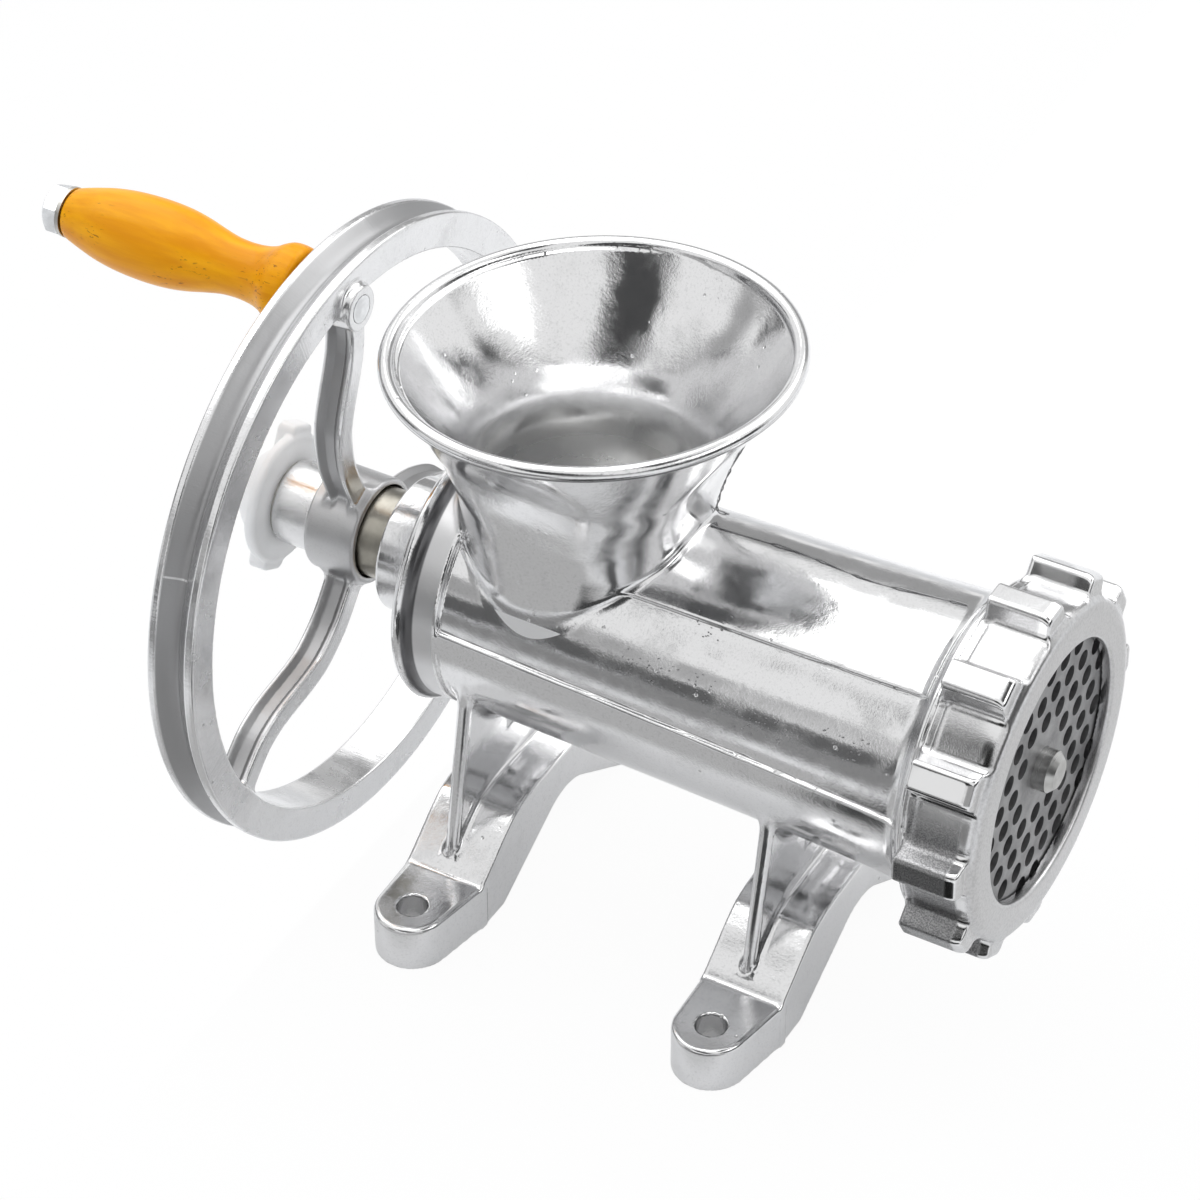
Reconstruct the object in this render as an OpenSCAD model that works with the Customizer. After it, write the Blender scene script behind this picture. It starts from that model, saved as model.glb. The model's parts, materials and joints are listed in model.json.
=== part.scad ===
// Hand-cranked table meat grinder with a wheel crank.
// Frame: X runs along the barrel towards the outlet, Z is up,
// and the origin is the centre of the four bolt holes on the underside of the feet.

/* [Barrel] */
// Height of the barrel axis above the underside of the feet
axis_h = 86.4; // [82:0.1:96]
// Radius of the bore that the worm turns in
bore_r = 32; // [30:0.1:33]
// Thickness of the barrel's wall at its rear
barrel_wall = 3.5; // [3:0.1:5]
// How much the barrel's outside radius grows towards its mouth
barrel_taper = 4; // [2:0.1:5.5]
// Front end of the barrel, in front of the origin
mouth_x = 108.6; // [104:0.1:116]
// Thickness of the threaded mouth's wall round the plate's seat
mouth_wall = 2.9; // [2.6:0.1:5]
// Length of the threaded mouth
mouth_len = 18.6; // [16:0.1:20]
// Rear end of the bore, behind the origin
bore_back = 57; // [54:0.1:60]
// Height of the casting's side step above the axis
step_rise = 3.5; // [1:0.5:6]
// Depth of the casting's steps
step_d = 1.2; // [0.3:0.1:1.5]

/* [Rear end] */
// How far the rear flange stands out of the barrel
flange_rise = 4.3; // [3:0.1:7]
// Thickness of the rear flange with its domed end
flange_t = 21; // [17:0.5:24]
// Radius of the domed end's edge
dome_r = 8; // [4:0.5:10]
// Thickness of the bearing boss round its bush
boss_wall = 3.4; // [2.4:0.1:6]
// Length of the bearing boss behind the flange
boss_len = 10.5; // [6:0.5:16]

/* [Hopper] */
// Distance of the hopper's centre behind the origin
hopper_back = 25.3; // [22:0.1:27]
// Height of the rim above the barrel axis
hopper_h = 87; // [78:0.5:98]
// Radius over the rolled rim
rim_r = 57; // [54:0.5:62]
// Radius of the rolled bead
bead_r = 2.1; // [1.5:0.1:2.6]
// Outside radius over the neck's rounded corners
neck_r = 37.5; // [35:0.1:40]
// Half the width between the neck's flat sides
neck_half = 31.7; // [29:0.1:33]
// Thickness of the hopper's wall
hopper_wall = 3; // [2.2:0.1:3.6]
// Tilt of the rim in degrees, lower at the rear
rim_tilt = 2.4; // [0:0.1:4]

/* [Legs] */
// Distance between the front and rear bolt holes
bolt_dx = 95; // [88:0.5:102]
// Distance between the left and right bolt holes
bolt_dy = 125; // [118:0.5:140]
// Radius of a bolt hole
bolt_r = 4.3; // [3:0.1:5.5]
// Width of a foot's round end outside its bolt hole
foot_wall = 6.5; // [5:0.1:8]
// Thickness of a foot
foot_t = 14.6; // [10:0.1:17]
// Width of a leg along the barrel
leg_w = 25; // [22:0.5:28]
// How far a leg reaches behind its bolt holes
leg_back = 11.5; // [10:0.1:12.5]
// Thickness of the cross web
web_t = 5.4; // [3:0.1:7]
// Height of the arch between two feet
arch_h = 17.4; // [13:0.1:20]
// Half the span of the arch between two feet
arch_y = 34.8; // [28:0.1:38]
// Height of a leg's back at the middle
back_h = 31; // [28:0.5:36]
// Width of the rail under the barrel
rail_w = 20; // [12:1:26]
// Thickness of that rail
rail_t = 3.2; // [2:0.1:5]

/* [Outlet] */
// Radius of the grinding plate
plate_r = 41; // [40:0.1:41.4]
// Thickness of the grinding plate
plate_t = 7; // [5:0.1:8]
// Spacing of the plate's holes
hole_pitch = 8.5; // [7.5:0.1:11]
// Radius of the plate's holes
hole_r = 2.9; // [1.5:0.1:3.3]
// Radius of the band that carries holes
hole_band_r = 40.2; // [30:0.1:40.2]
// How far the ring nut's lip reaches over the plate
lip_in = 4; // [2.5:0.1:4.2]
// Thickness of the ring nut's wall between its lugs
ring_wall = 3.45; // [2.6:0.05:6]
// Height of a lug above that wall
lug_h = 6; // [3:0.1:10]
// Number of lugs
lug_n = 12; // [6:1:12]
// Width of a lug
lug_w = 8; // [6:0.5:11]
// Width of the ring nut along the barrel
ring_w = 22.5; // [21:0.5:24]
// Thickness of the lip in front of the plate
lip_t = 3.4; // [2.5:0.1:5]

/* [Worm] */
// Radius of the worm's core
core_r = 13; // [11:0.5:16]
// Pitch of the worm's flight
worm_pitch = 38; // [30:1:50]
// Thickness of the flight at its root
flight_t = 9; // [6:0.5:12]
// Radius of the shaft in the rear bearing
journal_r = 13.2; // [12:0.1:14]
// Side of the shaft's square end
square_s = 16; // [13:0.5:16.5]
// Radius of the pin at the front of the worm
pin_r = 5.9; // [4:0.1:7]
// How far the pin stands out of the plate
pin_out = 5.5; // [2:0.5:9]
// Reach of a knife blade
knife_r = 38; // [34:0.5:39.5]
// Thickness of a knife blade
knife_t = 8; // [5:0.5:9]
// Side of the knife's square hole
knife_s = 17; // [15:0.5:18]

/* [Wheel] */
// Outside radius of the crank wheel
wheel_r = 93.2; // [88:0.1:100]
// Depth of the rim, from its outside to its inside
rim_depth = 10.3; // [8:0.1:14]
// Width of the wheel's rim
rim_w = 14.7; // [12:0.1:18]
// Depth of the groove round the rim
groove_d = 3.2; // [1.5:0.1:5]
// Gap between the bearing boss and the wheel's hub
hub_gap = 13.5; // [8:0.5:18]
// Thickness of the front of the hub round the shaft
hub_wall = 2.4; // [2:0.1:5]
// Thickness of the rear of the hub over the corners of its square hole
tail_wall = 1.1; // [0.9:0.1:3]
// Length of the hub
hub_len = 26; // [22:0.5:32]
// Width of a spoke's flanges
spoke_w = 6.6; // [5:0.1:9]
// Thickness of a spoke along the barrel
spoke_t = 9; // [7:0.1:11]
// Number of spokes
spoke_n = 3; // [2:1:5]
// Angle of the handle's spoke from the near side, upwards
crank_a = 84; // [0:1:180]

/* [Handle] */
// Distance of the handle's axis inside the wheel's edge
handle_in = 11.4; // [9:0.1:16]
// Length of the wooden grip
grip_len = 76; // [60:1:110]
// Largest radius of the grip
grip_r = 11.9; // [10:0.1:15]
// Radius of the grip's waist
waist_r = 8; // [7:0.1:9.5]
// Radius of the handle bolt
hbolt_r = 3.9; // [3:0.1:4]
// Width across the flats of the bolt head
head_af = 13; // [11:0.5:15]
// Thickness of the bolt head
head_t = 5.5; // [4:0.5:7]
// Radius of the boss that carries the handle
hboss_r = 6.6; // [6.2:0.1:8]
// How far that boss stands in front of the rim
hboss_out = 2.7; // [1:0.1:5]

/* [Wing nut] */
// Radius of the plastic nut
nut_r = 19.5; // [16:0.5:22]
// Thickness of the plastic nut
nut_t = 13.5; // [10.5:0.5:18]
// How far the nut's wings stand out of it
wing_out = 4.5; // [3:0.5:8]
// Width of a wing
wing_w = 15; // [10:0.5:18]
// Radius of the stud that the nut runs on
stud_r = 4.9; // [4:0.1:5]

/* [Fits] */
// Running gap between the worm and its bore
worm_gap = 0.5; // [0.3:0.05:0.8]
// Radial clearance of a running fit
run_gap = 0.06; // [0.02:0.01:0.09]
// Gap between faces that turn on each other
face_gap = 0.3; // [0.2:0.05:0.4]
// Clearance of the ring nut on the barrel's thread
thread_gap = 0.35; // [0.3:0.05:0.5]
// Clearance of the plate in its seat
seat_gap = 0.3; // [0.2:0.05:0.5]

/* [Hidden] */
$fn = 64;
eps = 0.01;

// Lengths that stay hidden or follow from the casting
end_wall = 4;
shaft_in_worm = 12;
pin_in_worm = 18;
edge = 0.8; // broken edge of a turned piece

// Key pin: it stands between two of the plate's outer holes
key_r = 2;
plate_turn = -4.5;
key_a = 150 + plate_turn;

// Barrel and rear end, from the bore outwards and backwards
barrel_r_rear = bore_r + barrel_wall;
barrel_r_front = barrel_r_rear + barrel_taper;
flange_r = barrel_r_rear + flange_rise;
flange_front = -bore_back + end_wall;
flange_back = flange_front - flange_t;
boss_back = flange_back - boss_len;
bush_wall = 2.4;
bush_r = journal_r + bush_wall;
boss_r = bush_r + boss_wall;
washer_t = 2;
washer_r = bore_r - 10;
foot_r = bolt_r + foot_wall;

// Outlet, from the mouth backwards
plate_proud = 2;
plate_front = mouth_x + plate_proud;
plate_back = plate_front - plate_t;
seat_r = plate_r + seat_gap;
seat_depth = plate_front - plate_back + knife_t + 3;
mouth_r = seat_r + mouth_wall;
seat_x = plate_front - seat_depth;
key_len = mouth_x - seat_x - 1;
ring_front = plate_front + face_gap + lip_t;
ring_back = ring_front - ring_w;
ring_open_r = plate_r - lip_in;
ring_r = mouth_r + thread_gap + ring_wall;
lug_r = ring_r + lug_h;

// Worm and what it carries
worm_r = bore_r - worm_gap;
knife_back = plate_back - knife_t;
worm_front = knife_back;
worm_back = -bore_back + washer_t + face_gap;
worm_len = worm_front - worm_back;

// Crank wheel, from the hub outwards
hub_front = boss_back - hub_gap;
hub_back = hub_front - hub_len;
hub_r = journal_r + hub_wall;
hub_tail_r = square_s / sqrt(2) + tail_wall;
spoke_front = hub_front + 1;
rim_in_r = wheel_r - rim_depth;
rim_front = spoke_front + 2;
rim_back = rim_front - rim_w;
stud_len = 20;
hub_sink = 3;
stud_washer_t = 1;

// Handle
handle_r = wheel_r - handle_in;
handle_y = -handle_r * cos(crank_a);
handle_z = axis_h + handle_r * sin(crank_a);
sleeve_r = hbolt_r + 1.1;
grip_washer_t = 1.2;
grip_front = rim_back - grip_washer_t - face_gap;
grip_back = grip_front - grip_len;
head_front = grip_back - face_gap - grip_washer_t;
head_cap = head_front - head_t;

// Points on an arc, from one angle to another
function arc(c, r, a0, a1, n = 8) =
    [for (i = [0:n]) c + r * [cos(a0 + (a1 - a0) * i / n), sin(a0 + (a1 - a0) * i / n)]];

// Places what follows on the barrel's axis, at a distance along it
module on_axis(x = 0) translate([x, 0, axis_h]) children();

// Turns a shape that stands on Z so that it points along X
module along_x() rotate([0, 90, 0]) children();

// A round bar along the barrel's axis
module bar(r, x0, x1) on_axis(min(x0, x1)) along_x() cylinder(r = r, h = abs(x1 - x0));

// A shape of radius and distance along X, turned round the barrel's axis
module turned(points) on_axis() along_x() rotate_extrude($fn = 96) polygon(points);

// A hexagonal bar along X, at a place across the barrel
module hex_bar(af, x0, x1) translate([min(x0, x1), 0, 0]) along_x()
    cylinder(r = af / sqrt(3), h = abs(x1 - x0), $fn = 6);

/* ---- casting ---- */

// Radius of the barrel's outside at a distance along it
function barrel_r(x) = barrel_r_rear
    + (barrel_r_front - barrel_r_rear) * (x - flange_front) / (mouth_x - mouth_len - flange_front);

// The barrel's outside with the rear flange, bearing boss and threaded mouth
module barrel_outside() {
    collar = mouth_x - mouth_len;
    flare = 5;
    bead = 3;
    turned(concat(
        [[0, boss_back], [boss_r - 1, boss_back], [boss_r, boss_back + 1],
            [boss_r, flange_back + 1.2], [boss_r + 1.5, flange_back]],
        arc([flange_r - 0.8 - dome_r, flange_back + dome_r], dome_r, -90, 0, 8),
        [[flange_r, flange_back + dome_r + 1]],
        arc([flange_r - bead, flange_front - bead], bead, 0, 80, 5),
        [[barrel_r(flange_front), flange_front]],
        [[barrel_r(collar - flare), collar - flare]],
        [[barrel_r_front + 0.8, collar - flare / 3], [mouth_r - 1.5, collar - 0.4],
            [mouth_r - 0.6, collar], [mouth_r, collar + 1], [mouth_r, mouth_x - 1],
            [mouth_r - 1, mouth_x], [0, mouth_x]]));
}

// A layer of the barrel that stands proud of it by the casting's step
module proud_layer(d) {
    collar = mouth_x - mouth_len;
    turned([[0, flange_front - 2], [barrel_r(flange_front) + d, flange_front - 2],
        [barrel_r(collar - 3) + d, collar - 3], [0, collar - 3]]);
}

// The steps that the casting's dies leave along the barrel
module casting_steps() {
    reach = 2 * flange_r;
    top_half = 38;
    fall = 1.4;
    // lower half, below the side step
    intersection() {
        proud_layer(step_d);
        on_axis() translate([0, 0, step_rise]) rotate([0, fall, 0])
            translate([-mouth_x, -reach, -2 * reach]) cube([2 * mouth_x, 2 * reach, 2 * reach]);
    }
    // land along the top, in front of the hopper
    intersection() {
        proud_layer(0.6 * step_d);
        on_axis(-hopper_back) rotate([90, 0, 90]) linear_extrude(height = mouth_x)
            polygon([[0, 0], [2 * reach * sin(top_half), 2 * reach * cos(top_half)],
                [-2 * reach * sin(top_half), 2 * reach * cos(top_half)]]);
    }
}

// The flat rail under the barrel, on a narrower rib
module rail() {
    drop = barrel_r_rear + 5.1;
    fall = 2.1;
    rib_w = 0.35 * rail_w;
    len = mouth_x - mouth_len - flange_front - 2;
    on_axis(flange_front - 1) translate([0, 0, -drop]) rotate([0, fall, 0]) {
        translate([0, -rail_w / 2, 0]) cube([len, rail_w, rail_t]);
        translate([0, -rib_w / 2, 0]) cube([len - 6, rib_w, 0.3 * barrel_r_rear]);
    }
}

// Hopper profile over its corners: radius and height above the axis
function hopper_side(inset) = let (flare = rim_r - 1.2 * bead_r - neck_r) [
    [neck_r - inset, 0],
    [neck_r - inset, 0.38 * hopper_h],
    [neck_r + 0.07 * flare - inset, 0.53 * hopper_h],
    [neck_r + 0.28 * flare - inset, 0.68 * hopper_h],
    [neck_r + 0.68 * flare - 1.1 * inset, 0.84 * hopper_h],
    [neck_r + flare - 1.15 * inset, hopper_h - 1.2 * bead_r]];

// The same for its flat sides, which run out into the round funnel
function hopper_flat(inset) = [
    [neck_half - inset, 0],
    [neck_half - inset, 0.40 * hopper_h],
    [neck_half + 2.2 - inset, 0.55 * hopper_h],
    [neck_half + 6.3 - inset, 0.70 * hopper_h],
    [neck_half + 21 - inset, 0.93 * hopper_h],
    [2 * rim_r, 0.95 * hopper_h],
    [2 * rim_r, hopper_h + 5]];

// Stands what follows on the hopper's own axis, with the rim's height at zero
module at_rim() on_axis(-hopper_back) translate([0, 0, hopper_h]) rotate([0, -rim_tilt, 0]) children();

// A round funnel cut flat on four sides
module square_funnel(inset) on_axis(-hopper_back) intersection() {
    above = 3.5;
    rotate_extrude($fn = 96) polygon(concat(hopper_side(inset),
        [[rim_r - 1.15 * inset - 1.2 * bead_r + 0.45 * (above + 1.2 * bead_r), hopper_h + above],
            [0, hopper_h + above], [0, 0]]));
    between_sides(inset, 0);
    between_sides(inset, 90);
}

// The space between two opposite flat sides
module between_sides(inset, turn) {
    side = hopper_flat(inset);
    rotate([90, 0, turn]) translate([0, 0, -2 * rim_r]) linear_extrude(height = 4 * rim_r)
        polygon(concat(side, [for (i = [len(side) - 1:-1:0]) [-side[i][0], side[i][1]]]));
}

// The funnel's outside, cut off along the tilted rim
module hopper_outside() difference() {
    square_funnel(0);
    at_rim() translate([-2 * rim_r, -2 * rim_r, -bead_r]) cube([4 * rim_r, 4 * rim_r, rim_r]);
}

// The rolled edge of the funnel
module rim_bead() at_rim() translate([0, 0, -bead_r])
    rotate_extrude($fn = 96) translate([rim_r - bead_r, 0]) circle(r = bead_r, $fn = 32);

// Where a leg's band meets the flat top of its foot
foot_flat = 4.5;
foot_in = bolt_dy / 2 - foot_r - foot_flat;

// One half of a leg's back, as parts of its span and of its rise
back_curve = [[1, 0], [0.85, 0.34], [0.72, 0.63], [0.59, 0.85], [0.44, 0.945], [0.21, 0.99], [0, 1]];

// Side view of a leg pair: feet, arch and back
module leg_profile() {
    rise = back_h - foot_t;
    slope = atan(arch_h / arch_y) + 3.5;
    apex_r = (arch_y * tan(slope) - arch_h) / (1 / cos(slope) - 1);
    below = 1 / tan(slope);
    difference() {
        polygon(concat([[-foot_in, 0]],
            [for (p = back_curve) [-foot_in * p[0], foot_t + rise * p[1]]],
            [for (i = [len(back_curve) - 2:-1:0])
                [foot_in * back_curve[i][0], foot_t + rise * back_curve[i][1]]],
            [[foot_in, 0]]));
        polygon(concat([[-arch_y - below, -1]],
            arc([0, arch_h - apex_r], apex_r, 90 + slope, 90 - slope, 10),
            [[arch_y + below, -1]]));
    }
}

// Cross web between a leg's back and the barrel
module leg_web() {
    web_top_z = axis_h - 0.3 * barrel_r_rear;
    web_top_y = 0.92 * barrel_r_rear;
    web_low_y = foot_in - 3.2;
    rotate([90, 0, 90]) translate([0, 0, -web_t / 2]) linear_extrude(height = web_t)
        difference() {
            polygon([[-web_low_y, foot_t], [-web_top_y, web_top_z], [web_top_y, web_top_z],
                [web_low_y, foot_t]]);
            square([2 * arch_y, 2 * (arch_h + 4)], center = true);
        }
}

// One leg pair with its two drilled feet
module leg_pair(x) translate([x, 0, 0]) {
    translate([-leg_back, 0, 0]) rotate([90, 0, 90]) linear_extrude(height = leg_w) leg_profile();
    leg_web();
    for (side = [0, 1]) mirror([0, side, 0]) translate([0, -bolt_dy / 2, 0]) foot();
}

// Where a line from a point touches a circle about the origin
function touch(p, r, way) = let (a = atan2(p[1], p[0]) + way * acos(r / norm(p))) r * [cos(a), sin(a)];

// Plan of a foot: a round end and two straight sides to the leg's corners
module foot_plan(r) {
    inner = bolt_dy / 2 - foot_in;
    front = [leg_w - leg_back, inner];
    rear = [-leg_back, inner];
    circle(r = r);
    polygon([front, touch(front, r, -1), [0, 0], touch(rear, r, 1), rear]);
}

// A drilled foot with a round, chamfered end
module foot() {
    chamfer = 1.1;
    difference() {
        union() {
            linear_extrude(height = foot_t - chamfer) foot_plan(foot_r);
            linear_extrude(height = foot_t) foot_plan(foot_r - chamfer);
            translate([0, 0, foot_t - chamfer])
                cylinder(r1 = foot_r, r2 = foot_r - chamfer, h = chamfer);
        }
        translate([0, 0, -1]) cylinder(r = bolt_r, h = foot_t + 2, $fn = 48);
    }
}

module grinder_body() color("silver") {
    difference() {
        union() {
            barrel_outside();
            casting_steps();
            hopper_outside();
            leg_pair(-bolt_dx / 2);
            leg_pair(bolt_dx / 2);
            rail();
        }
        bar(bore_r, -bore_back, mouth_x + 1);
        bar(seat_r, seat_x, mouth_x + 1);
        bar(bush_r, boss_back - 1, -bore_back + 1);
        square_funnel(hopper_wall);
        at_key(seat_x) cylinder(r = key_r, h = key_len, $fn = 24);
    }
    rim_bead();
}

// Places a bar half in the mouth's wall and half in the plate's notch
module at_key(x) on_axis(x) rotate([key_a, 0, 0]) translate([0, 0, seat_r]) along_x() children();

/* ---- fixed pieces in the casting ---- */

module shaft_bush() color("#b08d57") difference() {
    bar(bush_r, boss_back - 0.8, -bore_back);
    bar(journal_r + run_gap, boss_back - 2, -bore_back + 1);
}

module thrust_washer() color("white") difference() {
    bar(washer_r, -bore_back, -bore_back + washer_t);
    bar(journal_r + run_gap, -bore_back - 1, -bore_back + washer_t + 1);
}

module plate_pin() color("gray") at_key(seat_x) cylinder(r = key_r, h = key_len, $fn = 24);

// Places of the plate's holes: a triangular grid without its middle
function plate_grid() = [for (i = [-6:6], j = [-6:6])
    let (p = hole_pitch * [i + j / 2, j * sqrt(3) / 2], d = norm(p))
    if (d > 1.5 * hole_pitch && d < hole_band_r - hole_r) p];

module grinding_plate() color("dimgray") difference() {
    bar(plate_r, plate_back, plate_front);
    on_axis(plate_back - 1) rotate([plate_turn, 0, 0]) for (p = plate_grid())
        translate([0, p[0], p[1]]) along_x() cylinder(r = hole_r, h = plate_t + 2, $fn = 24);
    bar(pin_r + run_gap, plate_back - 1, plate_front + 1);
    at_key(plate_back - 1) cylinder(r = key_r + face_gap, h = plate_t + 2, $fn = 24);
}

/* ---- ring nut ---- */

module ring_nut() color("gainsboro") difference() {
    union() {
        turned(concat([[mouth_r - 1, ring_back], [ring_r - 1.4, ring_back],
            [ring_r - 1.4, ring_back + 1.6], [ring_r - 0.6, ring_back + 1.6],
            [ring_r - 0.6, ring_back + 3], [ring_r, ring_back + 3]],
            arc([ring_r - 3, ring_front - 3], 3, 0, 90, 5),
            [[mouth_r - 1, ring_front]]));
        turned([[ring_open_r - 1, ring_front - lip_t], [mouth_r, ring_front - lip_t],
            [mouth_r, ring_front], [ring_open_r - 1, ring_front]]);
        lugs();
    }
    bar(mouth_r + thread_gap, ring_back - 1, ring_front - lip_t);
    bar(ring_open_r, ring_front - lip_t - 1, ring_front + 1);
    // eased inner edge of the opening
    turned([[ring_open_r - 1, ring_front - 1.6], [ring_open_r, ring_front - 1.6],
        [ring_open_r + 1.2, ring_front + 0.1], [ring_open_r - 1, ring_front + 0.1]]);
}

// Grip lugs round the nut, with drafted sides and rounded front ends
module lugs() intersection() {
    turned(concat([[ring_r - 2, ring_back + 2], [lug_r - 0.8, ring_back + 2],
        [lug_r, ring_back + 2.8]], arc([lug_r - 5, ring_front - 8], 5, 0, 75, 6),
        [[ring_r - 2, ring_front - 2.2]]));
    on_axis(ring_back) for (i = [0:lug_n - 1]) rotate([i * 360 / lug_n + 1.5, 0, 0])
        rotate([90, 0, 90]) linear_extrude(height = ring_w)
            polygon([[-lug_w / 2 - 1.4, ring_r - 3], [-lug_w / 2, lug_r + 1],
                [lug_w / 2, lug_r + 1], [lug_w / 2 + 1.4, ring_r - 3]]);
}

/* ---- worm, shaft, pin and knife ---- */

// One side of the flight, which runs into the core in a curve
function flight_side(way) = let (foot_at = 0.8 * core_r, half = 90 * flight_t / worm_pitch)
    [for (i = [0:5]) let (f = i / 5, a = way * (half + 30 * pow(1 - f, 2)))
        (foot_at + (worm_r - foot_at) * f) * [cos(a), sin(a)]];

// The worm's cross section: its core and one flight
module worm_section() {
    other = flight_side(-1);
    circle(r = core_r, $fn = 24);
    polygon(concat(flight_side(1), [for (i = [len(other) - 1:-1:0]) other[i]]));
}

module auger_worm() color("lightsteelblue") {
    collar = 5;
    twisted = worm_len - 1.5 * collar;
    difference() {
        union() {
            on_axis(worm_back + collar) along_x() linear_extrude(height = twisted,
                twist = 360 * twisted / worm_pitch, slices = round(twisted / worm_pitch * 20))
                    worm_section();
            bar(washer_r - 1, worm_back, worm_back + collar + 1);
            bar(core_r + 3, worm_front - collar, worm_front);
            square_bar(knife_s, worm_front - 1, plate_back - 1);
        }
        bar(journal_r, worm_back - 1, worm_back + shaft_in_worm);
        bar(pin_r, worm_front - pin_in_worm, plate_back);
    }
}

// A square bar along the barrel's axis
module square_bar(s, x0, x1) on_axis(min(x0, x1))
    translate([0, -s / 2, -s / 2]) cube([abs(x1 - x0), s, s]);

module auger_shaft() color("lightgray") difference() {
    union() {
        bar(journal_r, hub_front - hub_sink + face_gap, worm_back + shaft_in_worm);
        square_bar(square_s, hub_back + 2, hub_front - hub_sink + 1);
    }
    bar(stud_r, hub_back, hub_back + stud_len);
}

module auger_pin() color("silver") {
    nose = 1.8;
    tip = plate_front + pin_out;
    bar(pin_r, worm_front - pin_in_worm, tip - nose);
    turned([[0, tip - nose - eps], [pin_r, tip - nose - eps], [pin_r - nose, tip], [0, tip]]);
}

// Four-armed knife with a square hole and ground edges facing the plate
module cutting_knife() color("lightgray") difference() {
    arm_turn = 20;
    relief = 35;
    hub = 0.85 * knife_s;
    union() {
        bar(hub, knife_back, plate_back - face_gap);
        intersection() {
            bar(knife_r, knife_back, plate_back - face_gap);
            on_axis(knife_back) for (i = [0:3]) rotate([i * 90 + arm_turn, 0, 0])
                rotate([90, 0, 90]) linear_extrude(height = knife_t - face_gap)
                    polygon([[-5, 0], [-6.5, knife_r + 1], [3, knife_r + 1], [7, 0]]);
        }
    }
    square_bar(knife_s, knife_back - 1, plate_back + 1);
    // relief behind each ground edge
    on_axis(plate_back) for (i = [0:3]) rotate([i * 90 + arm_turn, 0, 0])
        translate([0, 0, hub + 1]) rotate([0, 0, relief]) translate([-knife_t, -0.5, 0])
            cube([2 * knife_t, 2 * knife_t, knife_r]);
}

/* ---- crank wheel ---- */

// Centre line of the handle's spoke: share of the way from hub to rim, and angle off the handle
spoke_line = [[-0.05, -17], [0.065, -16.5], [0.2, -15.5], [0.29, -13.3], [0.38, -10.5], [0.45, -7],
    [0.525, -3.5], [0.615, 0], [0.705, 2.2], [0.795, 3], [0.9, 2.4], [1.03, 1]];

// The same line as points across the barrel
function spoke_points() = [for (p = spoke_line)
    (hub_r + p[0] * (rim_in_r - hub_r)) * [-cos(crank_a + p[1]), sin(crank_a + p[1])]];

// A band of even width along the spoke's line
module spoke_band(w) {
    pts = spoke_points();
    last = len(pts) - 1;
    side = [for (i = [0:last]) let (d = pts[min(i + 1, last)] - pts[max(i - 1, 0)])
        w / 2 * [-d[1], d[0]] / norm(d)];
    polygon(concat([for (i = [0:last]) pts[i] + side[i]],
        [for (i = [last:-1:0]) pts[i] - side[i]]));
}

// One spoke: two flanges with a thinner web between
module spoke() {
    flange = 2.4;
    rotate([90, 0, 90]) translate([0, 0, -spoke_t]) {
        linear_extrude(height = flange) spoke_band(spoke_w);
        linear_extrude(height = spoke_t) spoke_band(spoke_w * 0.5);
        translate([0, 0, spoke_t - flange]) linear_extrude(height = flange) spoke_band(spoke_w);
    }
}

// Rim with a shallow belt groove round its outside
module wheel_rim() {
    land = 2.4;
    turned([[rim_in_r, rim_back + edge], [rim_in_r + edge, rim_back], [wheel_r - edge, rim_back],
        [wheel_r, rim_back + edge], [wheel_r, rim_back + land],
        [wheel_r - groove_d, rim_back + rim_w * 0.5], [wheel_r - groove_d * 0.75, rim_back + rim_w * 0.6],
        [wheel_r, rim_front - land], [wheel_r, rim_front - edge], [wheel_r - edge, rim_front],
        [rim_in_r + edge, rim_front], [rim_in_r, rim_front - edge]]);
}

module wheel_hub() turned([[0, hub_back], [hub_tail_r - edge, hub_back], [hub_tail_r, hub_back + edge],
    [hub_tail_r, hub_front - 0.5 * hub_len - edge], [hub_r, hub_front - 0.5 * hub_len],
    [hub_r, hub_front - edge], [hub_r - edge, hub_front], [0, hub_front]]);

// Places what follows on the handle's axis
module at_handle(x = 0) translate([x, handle_y, handle_z]) children();

module hand_wheel() color("silver") difference() {
    union() {
        wheel_rim();
        wheel_hub();
        for (i = [0:spoke_n - 1]) on_axis(spoke_front) rotate([-360 / spoke_n * i, 0, 0]) spoke();
        at_handle(rim_back) along_x() cylinder(r = hboss_r, h = rim_w + hboss_out);
    }
    square_bar(square_s, hub_back - 1, hub_front + 1);
    bar(journal_r + 0.8, hub_front - hub_sink, hub_front + 1);
    at_handle(rim_back - 1) along_x() cylinder(r = hbolt_r, h = rim_w + hboss_out + 2, $fn = 32);
}

module crank_stud() color("silver")
    bar(stud_r, hub_back + stud_len, hub_back - stud_washer_t - nut_t * 0.75);

module stud_washer() color("gainsboro") difference() {
    bar(hub_tail_r - 1, hub_back - stud_washer_t, hub_back);
    bar(stud_r, hub_back - stud_washer_t - 1, hub_back + 1);
}

/* ---- wing nut ---- */

nut_front = hub_back - stud_washer_t - face_gap;
nut_back = nut_front - nut_t;
wing_r = nut_r + wing_out;
insert_af = 15;
insert_t = 8;
wing_a = -30;

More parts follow.
